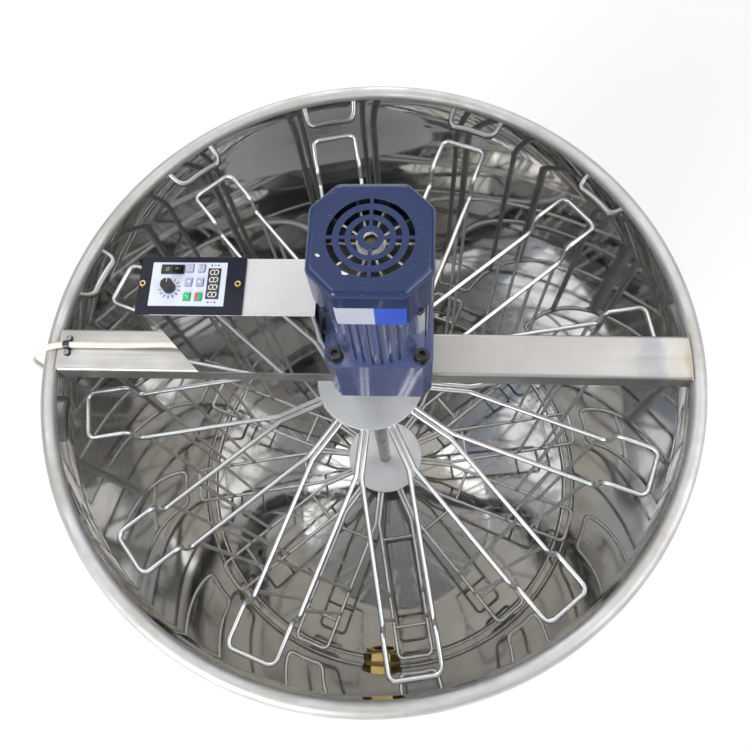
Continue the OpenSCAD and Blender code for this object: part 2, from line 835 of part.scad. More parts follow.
module tube(p, d, n) {
    m = len(p);
    points = [for (i = [0 : m - 1]) each tube_ring(p, i, d, n)];
    sides = [for (i = [0 : m - 2], k = [0 : n - 1])
        each [[i * n + k, i * n + (k + 1) % n, (i + 1) * n + k],
            [i * n + (k + 1) % n, (i + 1) * n + (k + 1) % n, (i + 1) * n + k]]];
    first = [[for (k = [n - 1 : -1 : 0]) k]];
    last = [[for (k = [0 : n - 1]) (m - 1) * n + k]];
    polyhedron(points, concat(sides, first, last), convexity = 10);
}

// run between two rounded corners, then the corner itself
function run_points(a, b) =
    let (n = max(1, ceil(norm(b - a) / (2.8 * cable_d))))
    [for (i = [1 : n]) a + (b - a) * i / n];
function corner_points(a, b, c, r) =
    let (u = unit(b - a), w = unit(c - b), t = turn_at(a, b, c), s = setback(a, b, c, r),
        n = max(2, ceil(r * t * PI / 180 / (1.6 * cable_d))), m = unit(w - u * (w * u)))
    [for (i = [1 : n]) b - u * s + r * (sin(t * i / n) * u + (1 - cos(t * i / n)) * m)];
function lead_from(i) =
    i == 0 ? lead_pts[0]
    : lead_pts[i] + unit(lead_pts[i + 1] - lead_pts[i])
        * setback(lead_pts[i - 1], lead_pts[i], lead_pts[i + 1], lead_rad[i]);
function lead_to(i) =
    i == len(lead_pts) - 1 ? lead_pts[i]
    : lead_pts[i] - unit(lead_pts[i] - lead_pts[i - 1])
        * setback(lead_pts[i - 1], lead_pts[i], lead_pts[i + 1], lead_rad[i]);
lead_path = concat([lead_pts[0]], [for (i = [1 : len(lead_pts) - 1])
    each concat(run_points(lead_from(i - 1), lead_to(i)),
        i == len(lead_pts) - 1 ? []
        : corner_points(lead_pts[i - 1], lead_pts[i], lead_pts[i + 1], lead_rad[i]))]);

module cable() color("ivory") tube(lead_path, cable_d, 10);

// coil: in along the floor, up a layer in the half turn that reverses the spiral, out again
coil_all = 2 * coil_turns + 0.5;
function coil_radius(t) =
    t < coil_turns ? coil_out - coil_pitch * t
    : t > coil_turns + 0.5 ? coil_in + coil_pitch * (t - coil_turns - 0.5)
    : coil_in - 1.5 + 1.5 * cos((t - coil_turns) * 720);
function coil_height(t) =
    let (s = max(0, min(1, (t - coil_turns) * 2)))
    floor_z + coil_rise * (1 - cos(180 * s)) / 2;
function coil_point(t) = [coil_at[0] + coil_radius(t) * sin(360 * t),
    coil_at[1] - coil_radius(t) * cos(360 * t), coil_height(t)];
coil_count = round(coil_all * coil_steps);
coil_loop = [for (i = [0 : coil_count]) coil_point(i / coil_steps)];
coil_path = concat([coil_loop[0] - [cable_d, 0, 0]], coil_loop,
    [coil_loop[coil_count] + [plug_lead, 0, 0]]);
coil_least = min([for (i = [0 : coil_count - 8], j = [i + 8 : coil_count])
    norm(coil_loop[i] - coil_loop[j])]) - cable_d;
function run_length(p) = [for (i = 0, s = 0; i < len(p); i = i + 1,
    s = s + (i < len(p) ? norm(p[i] - p[i - 1]) : 0)) s][len(p) - 1];
echo(coil_least_gap = coil_least, rings = len(lead_path),
    lead_length = run_length(lead_path) + run_length(coil_path));

module cable_coil() color("ivory") tube(coil_path, cable_d, 6);

module plug_body() color("ivory") {
    translate([plug_x + seat_gap, coil_at[1] - coil_out, plug_z]) rotate([0, 90, 0]) {
        rotate_extrude() polygon([[0, 0], [5, 0], [7.5, 26], [0, 26]]);
        difference() {
            union() {
                translate([0, 0, 24]) linear_extrude(34) rounded(2 * plug_z, 36, 6);
            }
            for (y = [-9.5, 9.5]) translate([0, y, 50])
                cylinder(d = 4.8 + 2 * seat_gap, h = 20, $fn = 32);
        }
    }
}

module plug_pins() color("silver") {
    translate([plug_x + seat_gap, coil_at[1] - coil_out, plug_z]) rotate([0, 90, 0])
        for (y = [-9.5, 9.5]) translate([0, y, 50 + seat_gap])
            cylinder(d = 4.8, h = 27, $fn = 32);
}

module cable_clip() color("dimgray") {
    r = cable_d / 2 + 0.15;
    translate([clip_x, lead_y, lie_z]) difference() {
        union() {
            rotate([0, -90, 0]) rotate([0, 0, 0]) translate([0, 0, -3.5]) linear_extrude(7)
                difference() {
                    union() {
                        circle(r = r + 1.2);
                        translate([-cable_d / 2 - 0.1 + seat_gap, -clip_span])
                            square([1.4, 2 * clip_span]);
                    }
                    circle(r = r);
                    translate([-10 - cable_d / 2 - 0.1 + seat_gap, -20]) square([10, 40]);
                    translate([-r - 0.1, -r]) square([r, 2 * r]);
                }
            for (y = [-1, 1]) translate([0, y * clip_span, -cable_d / 2 - 0.1 + seat_gap])
                cylinder(d = 8, h = 1.4);
        }
        for (y = [-1, 1]) translate([0, y * clip_span, -10])
            cylinder(d = 4 + 2 * seat_gap, h = 20, $fn = 32);
    }
}

module clip_screws() color("silver") {
    for (y = [-1, 1]) translate([clip_x, lead_y + y * clip_span, rim_z + 1.4 + 2 * seat_gap])
        difference() {
            union() {
                cylinder(d = 6, h = 2.2);
                translate([0, 0, -8]) cylinder(d = 4, h = 9, $fn = 32);
            }
            translate([-0.5, -2.4, 1.2]) cube([1, 4.8, 2]);
            translate([-2.4, -0.5, 1.2]) cube([4.8, 1, 2]);
        }
}

module outlet_pipe() color("goldenrod") {
    at_outlet() translate([0, 0, nut_z - 1]) ring(pipe_d, pipe_bore, gate_face - 4 - nut_z);
}

module lock_nut() color("goldenrod") {
    at_outlet() translate([0, 0, nut_z]) difference() {
        cylinder(d = nut_af / cos(30), h = nut_t, $fn = 6);
        translate([0, 0, -1]) cylinder(d = pipe_d + 2 * seat_gap, h = nut_t + 2);
    }
}

module inner_seal() color("white") {
    intersection() {
        at_outlet() translate([0, 0, seal_in_z]) ring(62, pipe_d + 2 * seat_gap, 10);
        translate([0, 0, seam_z]) cylinder(r = drum_r - seat_gap, h = drum_depth / 2, $fn = 720);
    }
}

module outer_seal() color("white") {
    difference() {
        at_outlet() translate([0, 0, drum_r - 10])
            ring(64, pipe_d + 2 * seat_gap, seal_out_z - drum_r + 10);
        translate([0, 0, seam_z]) cylinder(r = wall_r + seat_gap, h = drum_depth / 2, $fn = 720);
    }
}

module gate_body() color("goldenrod") {
    deep = gate_face - body_z;
    at_outlet() translate([0, 0, body_z]) difference() {
        union() {
            cylinder(d = 68, h = 7);
            cylinder(d = 58, h = deep);
            for (x = [-1, 1]) translate([x * gate_reach, 0, deep - 9]) cylinder(d = 18, h = 9);
            translate([-gate_reach, -8, deep - 9]) cube([2 * gate_reach, 16, 9]);
        }
        translate([0, 0, -1]) cylinder(d = pipe_d + 2 * seat_gap, h = deep - 3);
        cylinder(d = pipe_bore, h = deep + 2);
        for (x = [-1, 1]) translate([x * gate_reach, 0, deep - 12])
            cylinder(d = 8 + 2 * run_gap, h = 20);
    }
}

module gate_plate() color("goldenrod") {
    at_outlet() translate([0, 0, gate_z]) difference() {
        union() {
            cylinder(d = pipe_bore + 14, h = gate_t);
            translate([gate_reach, 0, 0]) cylinder(d = 18, h = gate_t);
            translate([0, -9, 0]) cube([gate_reach, 18, gate_t]);
            translate([-gate_reach - 7, -6, 0]) cube([gate_reach, 15, gate_t]);
            translate([-gate_reach - 24, 3, 0]) cube([24, 12, gate_t]);
            translate([-gate_reach - 24, 9, 0]) cylinder(d = 12, h = gate_t);
        }
        translate([gate_reach, 0, -1]) cylinder(d = 8 + 2 * run_gap, h = gate_t + 2);
        translate([-gate_reach, 0, -1]) cylinder(d = 10, h = gate_t + 2);
        translate([-gate_reach - 5, -20, -1]) cube([10, 20, gate_t + 2]);
    }
}

module gate_pivot() color("goldenrod") {
    top = wing_z - gate_face;
    at_outlet() translate([0, 0, gate_face]) {
        for (x = [-1, 1]) translate([x * gate_reach, 0, 0]) {
            translate([0, 0, -12]) cylinder(d = 14, h = 3 - seat_gap, $fn = 6);
            translate([0, 0, -10]) cylinder(d = 8, h = x > 0 ? top + 11 : top + 18);
        }
        translate([gate_reach, 0, top]) cylinder(d = 15, h = 6, $fn = 6);
    }
}

module gate_wing() color("goldenrod") {
    at_outlet() translate([-gate_reach, 0, wing_z]) difference() {
        union() {
            cylinder(d = 15, h = 7);
            for (a = [0, 180]) rotate([0, 0, 90 + a]) translate([4.5, -1.5, 2]) {
                cube([8, 3, 8]);
                translate([8, 3, 8]) rotate([90, 0, 0]) cylinder(d = 12, h = 3);
            }
        }
        translate([0, 0, -1]) cylinder(d = 8 + 2 * run_gap, h = 20);
    }
}

drum_wall();
drum_bottom();
leg_1();
leg_2();
leg_3();
cross_beam();
motor_plate();
gear_case();
gear_bolts();
gear_nuts();
motor_body();
fan_cover();
cover_screws();
cooling_fan();
rotor_shaft();
output_shaft();
shaft_coupling();
coupling_screws();
main_shaft();
upper_hub();
lower_hub();
upper_loops();
lower_loops();
uprights();
rungs();
bearing_cup();
bearing_bush();
thrust_ball();
control_box();
controller_case();
face_plate();
panel_sheet();
display();
rocker_frame();
rocker();
knob();
key_1();
key_2();
key_3();
key_4();
key_5();
key_6();
plate_screws();
grommet();
cable();
cable_coil();
plug_body();
plug_pins();
cable_clip();
clip_screws();
outlet_pipe();
lock_nut();
inner_seal();
outer_seal();
gate_body();
gate_plate();
gate_pivot();
gate_wing();
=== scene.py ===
import json
import math
import bmesh
import bpy
from mathutils import Matrix, Vector

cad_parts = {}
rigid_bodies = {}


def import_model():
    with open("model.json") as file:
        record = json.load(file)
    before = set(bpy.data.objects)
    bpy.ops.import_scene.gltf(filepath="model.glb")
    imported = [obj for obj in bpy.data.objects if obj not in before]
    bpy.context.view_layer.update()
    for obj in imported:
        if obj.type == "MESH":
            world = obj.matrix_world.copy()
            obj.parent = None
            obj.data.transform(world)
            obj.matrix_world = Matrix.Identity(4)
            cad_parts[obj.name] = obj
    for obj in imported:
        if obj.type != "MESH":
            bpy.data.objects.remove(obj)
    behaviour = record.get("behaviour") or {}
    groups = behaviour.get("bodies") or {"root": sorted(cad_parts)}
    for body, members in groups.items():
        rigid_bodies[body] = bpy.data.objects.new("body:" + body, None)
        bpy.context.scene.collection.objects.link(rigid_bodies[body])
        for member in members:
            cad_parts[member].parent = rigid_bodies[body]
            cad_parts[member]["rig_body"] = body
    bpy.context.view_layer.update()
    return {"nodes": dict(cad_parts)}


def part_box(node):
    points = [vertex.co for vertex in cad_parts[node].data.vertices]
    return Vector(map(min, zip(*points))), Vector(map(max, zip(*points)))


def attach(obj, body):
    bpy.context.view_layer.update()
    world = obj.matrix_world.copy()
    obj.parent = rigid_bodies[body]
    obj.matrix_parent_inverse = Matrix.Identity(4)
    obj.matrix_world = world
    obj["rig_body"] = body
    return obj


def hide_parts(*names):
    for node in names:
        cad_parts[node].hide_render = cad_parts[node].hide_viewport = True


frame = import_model()
solid = frame["nodes"]


# Camera: looks down into the drum from above its front edge. Its place, tilt and lens were fitted to the rim,
# the beam and the basket rings in the photograph.
def placed(name, data):
    """A new object in the scene that shows the given data."""
    thing = bpy.data.objects.new(name, data)
    bpy.context.scene.collection.objects.link(thing)
    return thing


camera_data = bpy.data.cameras.new("camera")
camera_data.sensor_width = 36
camera_data.lens = 33.87
camera_data.clip_end = 50
camera = placed("camera", camera_data)
camera.location = (0.0591, -0.2759, 1.6758)
camera.rotation_euler = [math.radians(a) for a in (19.158, 3.078, 1.979)]
bpy.context.scene.camera = camera
bpy.context.scene.view_settings.view_transform = "Standard"
bpy.context.scene.cycles.glossy_bounces = 8

# Mains lead: a round cable in a cream sheath. It leaves the control box, lies along the beam under a clip,
# goes over the rim, hangs down and is wound into a coil of two layers on the floor, with a tie and a moulded
# plug.
rim_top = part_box("cross_beam")[1].z
lead_d = 0.007
lead_low = lead_d / 2 + 0.0001
lead_y = 0.004
exit_z = rim_top + 0.008
on_beam = rim_top + lead_low
hang_x = -0.3897
hang_y = -0.006
coil_turns = 2.25
coil_climb = 0.5
coil_steps = 36
coil_pitch = 0.0076
coil_rise = 0.0075
coil_dip = 0.0015
coil_in = 4.7 * lead_d
coil_out = coil_in + coil_turns * coil_pitch
coil_x = -0.290
coil_y = hang_y + coil_out


def rounded_path(points, radii, step):
    """Points along straight runs whose corners are turned with the given radii."""
    points = [Vector(p) for p in points]
    path = [points[0]]
    for i in range(1, len(points) - 1):
        u = (points[i] - points[i - 1]).normalized()
        w = (points[i + 1] - points[i]).normalized()
        turn = u.angle(w)
        if turn < 1e-4 or radii[i] == 0:
            path.append(points[i])
            continue
        back = radii[i] * math.tan(turn / 2)
        side = (w - u * w.dot(u)).normalized()
        start = points[i] - u * back
        n = max(3, math.ceil(turn / math.radians(step)))
        for k in range(n + 1):
            a = turn * k / n
            path.append(start + (u * math.sin(a) + side * (1 - math.cos(a))) * radii[i])
    path.append(points[-1])
    return path


def lead_coil():
    """Turns inward on the floor, a climb in the half turn that reverses the spiral, turns outward on top."""
    points = []
    for k in range(int((2 * coil_turns + coil_climb) * coil_steps) + 1):
        t = k / coil_steps
        risen = max(0, min(1, (t - coil_turns) / coil_climb))
        if t < coil_turns:
            r = coil_out - coil_pitch * t
        elif t > coil_turns + coil_climb:
            r = coil_in + coil_pitch * (t - coil_turns - coil_climb)
        else:
            r = coil_in - coil_dip * (1 - math.cos(2 * math.pi * risen))
        z = lead_low + coil_rise * (1 - math.cos(math.pi * risen)) / 2
        a = 2 * math.pi * t
        points.append(Vector((coil_x + r * math.sin(a), coil_y - r * math.cos(a), z)))
    return points


def angles(first, step, count):
    """Angles in radians that start at one in degrees and go on by a step in degrees."""
    return [math.radians(first + step * k) for k in range(count)]


def wire_piece(name, paths, d, rings):
    """Round wires, one spline for each path, as one curve object."""
    data = bpy.data.curves.new(name, "CURVE")
    data.dimensions = "3D"
    data.bevel_depth = d / 2
    data.bevel_resolution = rings
    data.use_fill_caps = True
    for path in paths:
        spline = data.splines.new("POLY")
        spline.points.add(len(path) - 1)
        for p, v in zip(spline.points, path):
            p.co = (v[0], v[1], v[2], 1)
        spline.use_smooth = True
    return placed(name, data)


def feed(tree, node, inputs):
    """Sets a node's inputs to plain values, or links them to other nodes' outputs."""
    for key, value in inputs.items():
        if isinstance(value, bpy.types.NodeSocket):
            tree.links.new(value, node.inputs[key])
        else:
            node.inputs[key].default_value = value


def node_adder(tree):
    """A function that adds a node to this tree and feeds its inputs."""
    def add(kind, inputs=None, **settings):
        node = tree.nodes.new(kind)
        for key, value in settings.items():
            setattr(node, key, value)
        feed(tree, node, inputs or {})
        return node
    return add


def shader(name):
    """A new node material, its Principled shader, the function that adds its nodes, and its tree."""
    mat = bpy.data.materials.new(name)
    mat.use_nodes = True
    tree = mat.node_tree
    return mat, tree.nodes["Principled BSDF"], node_adder(tree), tree


def noise(add, place, scale, **more):
    """The value of a noise texture."""
    return add("ShaderNodeTexNoise", {"Vector": place, "Scale": scale, **more}).outputs["Fac"]


def spread(add, value, source=(0, 1), result=(0, 1)):
    """A value taken from one range to another."""
    ends = {"From Min": source[0], "From Max": source[1], "To Min": result[0], "To Max": result[1]}
    return add("ShaderNodeMapRange", {"Value": value, **ends}).outputs["Result"]


def colour_mix(add, factor, first, second, **settings):
    """A colour mixed from two others, each a value or a node's output."""
    mix = add("ShaderNodeMix", {"Factor": factor, 6: first, 7: second}, data_type="RGBA", **settings)
    return mix.outputs[2]


def moulded(name, colour, rough, mottle=0.06, grain=900, bump=0.04, coat=0.0):
    """Plastic or rubber: a little uneven in tone and gloss, with a fine moulded grain."""
    mat, bsdf, add, tree = shader(name)
    place = add("ShaderNodeTexCoord").outputs["Object"]
    cloud = noise(add, place, 35.0, Detail=4.0)
    dark = [c * (1 - mottle) for c in colour] + [1]
    light = [min(1, c * (1 + mottle)) for c in colour] + [1]
    gloss = spread(add, cloud, result=(rough * 0.85, rough * 1.15))
    fine = noise(add, place, grain, Detail=2.0)
    relief = add("ShaderNodeBump", {"Strength": bump, "Distance": 0.0002, "Height": fine})
    feed(tree, bsdf, {"Base Color": colour_mix(add, cloud, dark, light), "Roughness": gloss,
                      "Normal": relief.outputs["Normal"]})
    if coat:
        feed(tree, bsdf, {"Coat Weight": coat, "Coat Roughness": 0.15})
    return mat


def piece_from(name, bm, sharp=32):
    """A smooth shaded object from a bmesh, creased where faces meet at more than the given angle."""
    mesh = bpy.data.meshes.new(name)
    bm.to_mesh(mesh)
    bm.free()
    mesh.shade_smooth()
    mesh.set_sharp_from_angle(angle=math.radians(sharp))
    return placed(name, mesh)


def bevel(piece, name, width, segments, sharp):
    """Rounds off the edges that are sharper than the given angle."""
    rounding = piece.modifiers.new(name, "BEVEL")
    rounding.width = width
    rounding.segments = segments
    rounding.limit_method = "ANGLE"
    rounding.angle_limit = math.radians(sharp)
    return rounding


def eased(name, width, segments):
    """A copy of a solid's mesh with its corners eased, because real edges are never quite sharp."""
    sharp = 32
    bm = bmesh.new()
    bm.from_mesh(solid[name].data)
    bmesh.ops.remove_doubles(bm, verts=bm.verts, dist=0.000005)
    bmesh.ops.dissolve_limit(bm, angle_limit=math.radians(0.6), verts=bm.verts, edges=bm.edges)
    piece = piece_from(name + "_made", bm, sharp)
    if width:
        bevel(piece, "ease", width, segments, sharp).harden_normals = True
    return piece


def metal(name, tone, rough, lines, streak, wave=0.0, wave_size=5.0, stain=0.0, clear=0.12):
    """Bare metal: polishing lines that change the gloss, slow waves of the sheet and faint stains."""
    mat, bsdf, add, tree = shader(name)
    place = add("ShaderNodeTexCoord").outputs["Object"]
    drawn = add("ShaderNodeMapping", {"Vector": place, "Scale": lines})
    brush = noise(add, drawn.outputs[0], 1.0, Detail=5.0, Roughness=0.65)
    cloud = noise(add, place, wave_size * 2.3, Detail=5.0, Roughness=0.6)
    both = add("ShaderNodeMath", {0: brush, 1: cloud}, operation="MULTIPLY")
    gloss = spread(add, both.outputs[0], (clear, 0.42), (rough, rough + streak))
    stained = [c * (1 - share * stain) for c, share in zip(tone, (1, 1.15, 1.5))]
    shade = colour_mix(add, spread(add, cloud, (0.35, 0.7)), [*tone, 1], [*stained, 1])
    swell = noise(add, place, wave_size, Detail=1.0)
    slow = add("ShaderNodeBump", {"Strength": 1.0, "Distance": 0.001 * wave, "Height": swell})
    fine = add("ShaderNodeBump", {"Strength": 0.12, "Distance": 0.00004, "Height": brush,
                                  "Normal": slow.outputs["Normal"]})
    feed(tree, bsdf, {"Base Color": shade, "Roughness": gloss, "Normal": fine.outputs["Normal"],
                      "Metallic": 1.0})
    return mat


def dress(piece, mat, slot, *nodes, body=None):
    """Gives a piece its finish, and its place: that of the solids it stands for, or on the named body."""
    piece.data.materials.clear()
    piece.data.materials.append(mat)
    if nodes:
        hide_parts(*nodes)
    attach(piece, body or solid[nodes[0]]["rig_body"])
    return piece


def remade(name, mat, slot, ease=0.0006, segments=2):
    """The eased copy of a solid, which stands for that solid and has its finish on."""
    return dress(eased(name, ease, segments), mat, slot, name)


lead_exit = Vector((-0.215, lead_y, exit_z))
lead_route = [lead_exit, (-0.227, lead_y, exit_z), (-0.275, lead_y, on_beam), (-0.345, lead_y, on_beam),
              (hang_x, hang_y, on_beam), (hang_x, hang_y, lead_low), (coil_x - lead_d, hang_y, lead_low)]
lead_bends = [0, 0.060, 0.120, 0.060, 0.032, 0.032, 0]
lead_turns = lead_coil()
lead_tail = lead_turns[-1] + Vector((6 * lead_d, 0, 0))
lead_path = rounded_path(lead_route, lead_bends, step=10) + lead_turns + [lead_tail]
lead = wire_piece("mains_lead", [lead_path], lead_d, rings=5)
cream_sheath = moulded("cream_sheath", (0.92, 0.87, 0.77), rough=0.42, mottle=0.05, grain=500, bump=0.03)
dress(lead, cream_sheath, "cable_pvc", "cable", "cable_coil")
tie_d = 0.0016
tie_w = (coil_out - coil_in) / 2 + lead_d / 2 + tie_d / 2 + 0.001
tie_h = 0.00645
tie_at = Vector((coil_x - (coil_in + coil_out) / 2, coil_y, lead_low + coil_rise / 2))
tie_path = []
for a in angles(0, 10, 36):
    flattened = math.copysign(math.sqrt(abs(math.sin(a))), math.sin(a))
    tie_path.append(tie_at + Vector((tie_w * math.cos(a), 0, tie_h * flattened)))
tie = wire_piece("lead_tie", [tie_path], tie_d, rings=2)
tie.data.splines[0].use_cyclic_u = True
dress(tie, moulded("tie_black", (0.02, 0.02, 0.022), rough=0.5), "black_plastic", body="stand")
plug_cream = moulded("plug_cream", (0.84, 0.79, 0.69), rough=0.4, mottle=0.04, grain=700, bump=0.06)
plug = remade("plug_body", plug_cream, "cable_pvc", ease=0.0012, segments=3)
pin_brass = metal("pin_brass", (0.74, 0.60, 0.34), rough=0.22, lines=(300, 300, 300), streak=0.14)
pins = remade("plug_pins", pin_brass, "steel_bolt", ease=0.0008)


# Floor and light: a plain pale studio floor, a soft room that is darker where the maker stands at the front,
# and five large soft lamps. For eyes and mirrors the floor glows more with distance, so that the shadow near
# the part stays and the far floor runs into the white room.
def colour_stops(node, stops):
    """Sets a colour ramp's stops, given in order as place and colour."""
    ramp = node.color_ramp
    for stop in stops[1:-1]:
        ramp.elements.new(stop[0])
    for element, (at, colour) in zip(ramp.elements, stops):
        element.position = at
        element.color = (*colour, 1)


floor_edit = bmesh.new()
bmesh.ops.create_grid(floor_edit, x_segments=1, y_segments=1, size=9)
floor_mesh = bpy.data.meshes.new("floor")
floor_edit.to_mesh(floor_mesh)
floor_edit.free()
floor = placed("floor", floor_mesh)
floor.location = (0, 0, -0.0005)
floor_mat, floor_bsdf, add, tree = shader("pale_floor")
feed(tree, floor_bsdf, {"Base Color": (0.86, 0.86, 0.86, 1), "Roughness": 0.9, "Specular IOR Level": 0.1})
ray = add("ShaderNodeLightPath")
seen = ray.outputs["Is Camera Ray"]
for kind in ("Is Glossy Ray", "Is Transmission Ray"):
    seen = add("ShaderNodeMath", {0: seen, 1: ray.outputs[kind]}, operation="MAXIMUM").outputs[0]
far = add("ShaderNodeVectorMath", {0: add("ShaderNodeTexCoord").outputs["Object"]}, operation="LENGTH")
fade = spread(add, far.outputs["Value"], (1.2, 7.0), (0.16, 0.46))
glow = add("ShaderNodeEmission", {"Color": (1, 1, 1, 1), "Strength": fade})
lit = add("ShaderNodeAddShader", {0: floor_bsdf.outputs[0], 1: glow.outputs[0]})
pick = add("ShaderNodeMixShader", {0: seen, 1: floor_bsdf.outputs[0], 2: lit.outputs[0]})
feed(tree, tree.nodes["Material Output"], {"Surface": pick.outputs[0]})
floor_mesh.materials.append(floor_mat)
room = bpy.data.worlds.new("room")
bpy.context.scene.world = room
room.use_nodes = True
sky = room.node_tree
add = node_adder(sky)
toward = add("ShaderNodeTexCoord").outputs["Generated"]
band = add("ShaderNodeValToRGB", {"Fac": add("ShaderNodeSeparateXYZ", {0: toward}).outputs["Z"]})
colour_stops(band, ((0.0, (0.80, 0.77, 0.72)), (0.12, (0.50, 0.49, 0.47)), (0.45, (0.27, 0.27, 0.275)),
                    (0.68, (0.40, 0.41, 0.43)), (0.84, (0.86, 0.88, 0.92)), (1.0, (0.98, 1.0, 1.04))))
drift = noise(add, toward, 1.7, Detail=1.5)
tints = add("ShaderNodeValToRGB", {"Fac": drift})
colour_stops(tints, ((0.38, (1.0, 0.93, 0.80)), (0.62, (0.86, 0.95, 1.10))))
tinted = colour_mix(add, 1.0, band.outputs["Color"], tints.outputs["Color"], blend_type="MULTIPLY")
maker_side = Vector((0.02, -0.30, 0.95)).normalized()
facing = add("ShaderNodeVectorMath", {0: toward, 1: maker_side}, operation="DOT_PRODUCT")
dim = spread(add, facing.outputs["Value"], (0.86, 0.975), (1.0, 0.30))
level = spread(add, drift, (0.3, 0.7), (0.82, 1.34))
strength = add("ShaderNodeMath", {0: level, 1: dim}, operation="MULTIPLY")
feed(sky, sky.nodes["Background"], {"Color": tinted, "Strength": strength.outputs[0]})
backdrop = add("ShaderNodeBackground", {"Color": (0.90, 0.90, 0.905, 1)})
looked = add("ShaderNodeLightPath").outputs["Is Camera Ray"]
either = add("ShaderNodeMixShader", {0: looked, 1: sky.nodes["Background"].outputs[0],
                                     2: backdrop.outputs[0]})
feed(sky, sky.nodes["World Output"], {"Surface": either.outputs[0]})
for name, spot, aim_z, size, watts in (
        ("lamp_left", (-1.7, -2.6, 2.5), 0.9, 1.8, 80),
        ("lamp_right", (2.4, -0.6, 2.8), 0.9, 1.6, 30),
        ("lamp_back", (-0.3, 2.8, 2.6), 0.8, 1.6, 24),
        ("window_right", (1.30, 0.56, 3.0), 0.6, 1.2, 7),
        ("window_left", (-1.18, 0.56, 3.1), 0.6, 1.2, 7)):
    lamp_data = bpy.data.lights.new(name, "AREA")
    lamp_data.size = size
    lamp_data.energy = watts
    lamp = placed(name, lamp_data)
    lamp.location = spot
    lamp.rotation_euler = (Vector((0, 0, aim_z)) - Vector(spot)).to_track_quat("-Z", "Y").to_euler()

# Drum wall: stainless sheet rolled to a cylinder and polished to a mirror, its top edge curled outward into a
# round satin rim. It stands in the bottom's collar. The seals cover its outlet hole on both sides.
drum_r = 0.350
sheet = 0.0012
seat = 0.00002
seam_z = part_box("drum_wall")[0].z - seat
roll_r = 0.0085
roll_x = drum_r + 0.0082
roll_z = rim_top - roll_r
curl_start = roll_z - 0.0022
curl_end = roll_z - 0.0058
outlet_z = seam_z + 0.038
outlet_cut = 0.0272


def lathe(name, profile, steps, skip=None):
    """Turns a closed (r, z) profile round Z. Faces whose middle skip() takes are left out on both skins."""
    bm = bmesh.new()
    turns = [2 * math.pi * k / steps for k in range(steps)]
    rings = [[bm.verts.new((r * math.cos(a), r * math.sin(a), z)) for a in turns] for r, z in profile]
    for ring, following in zip(rings, rings[1:] + rings[:1]):
        for k in range(steps):
            beside = (k + 1) % steps
            quad = [ring[k], ring[beside], following[beside], following[k]]
            if skip and skip(sum((v.co for v in quad), Vector()) / 4):
                continue
            bm.faces.new(quad)
    if skip:
        bmesh.ops.bridge_loops(bm, edges=[e for e in bm.edges if len(e.link_faces) == 1])
    bmesh.ops.recalc_face_normals(bm, faces=bm.faces)
    return piece_from(name, bm)


def in_outlet(p):
    """Whether a point lies in the outlet hole, on either skin of the front wall."""
    on_wall = abs(math.hypot(p.x, p.y) - drum_r) < 0.002
    return on_wall and p.y < 0 and math.hypot(p.x, p.z - outlet_z) < outlet_cut


close_rows = [seam_z + 0.006 + 0.003 * k for k in range(23)]
wide_rows = [seam_z + 0.2 + 0.1 * k for k in range(5)]
rows = [seam_z + seat] + close_rows + wide_rows
inner = [(drum_r, z) for z in rows + [curl_start]]
curl = [(roll_x + roll_r * math.cos(a), roll_z + roll_r * math.sin(a)) for a in angles(190, -8, 42)]
outer = [(drum_r + sheet, z) for z in reversed(rows + [curl_end])]
wall = lathe("drum_wall_sheet", inner + curl + outer, steps=480, skip=in_outlet)
mirror_steel = metal("mirror_steel", (0.605, 0.602, 0.598), rough=0.022, lines=(6, 6, 700), streak=0.24,
                     wave=0.22, wave_size=4.0, stain=0.09, clear=0.30)
rim_satin = metal("rim_satin", (0.70, 0.70, 0.71), rough=0.40, lines=(30, 30, 520), streak=0.30,
                  wave=0.5, wave_size=7.0, stain=0.20)
dress(wall, mirror_steel, "steel_polished", "drum_wall")
wall.data.materials.append(rim_satin)
for face in wall.data.polygons:
    reach = math.hypot(face.center.x, face.center.y)
    face.material_index = int(face.center.z > roll_z - roll_r or reach > drum_r + 0.003)

# Drum bottom: one spun stainless sheet, a low cone that sheds the honey outward. A round bead runs beside the
# seam, with painted shade in its crease, and a short collar takes the wall.
cone_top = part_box("drum_bottom")[1].z
cone_flat = 0.050
cone_edge = 0.338
axis_gap = 0.0004
under = seam_z - sheet
collar_in = drum_r + sheet + seat
collar_out = collar_in + sheet
collar_top = seam_z + 0.005
ledge_in = drum_r - 0.001
bead_x = drum_r - 0.007
bead_r = 0.0025
foot = 0.0001
profile = [(axis_gap, cone_top - sheet), (cone_flat, cone_top - sheet), (cone_edge, under)]
profile += [(collar_out, under), (collar_out, collar_top), (collar_in, collar_top), (collar_in, seam_z)]
profile += [(ledge_in, seam_z)]
profile += [(bead_x + bead_r * math.cos(a), seam_z + bead_r * math.sin(a)) for a in angles(0, 15, 13)]
profile += [(cone_edge, seam_z), (cone_flat, cone_top), (axis_gap, cone_top)]
bottom = lathe("drum_bottom_cone", profile, steps=360)
cone_steel = metal("cone_steel", (0.50, 0.495, 0.487), rough=0.05, lines=(90, 90, 90), streak=0.15,
                   wave=0.5, wave_size=5.0, stain=0.12, clear=0.27)
cone_tree = cone_steel.node_tree
spun = node_adder(cone_tree)("ShaderNodeTangent", direction_type="RADIAL")
feed(cone_tree, cone_tree.nodes["Principled BSDF"], {"Tangent": spun.outputs["Tangent"], "Anisotropic": 0.8})
# The bead is the same sheet as the cone but gets a rougher finish and a lighter tone. The lighter tone is a
# painted highlight along the bead.
bead_highlight_steel = metal("bead_highlight_steel", (0.74, 0.72, 0.69), rough=0.18, lines=(90, 90, 90), streak=0.15,
                   wave_size=9.0, stain=0.15)
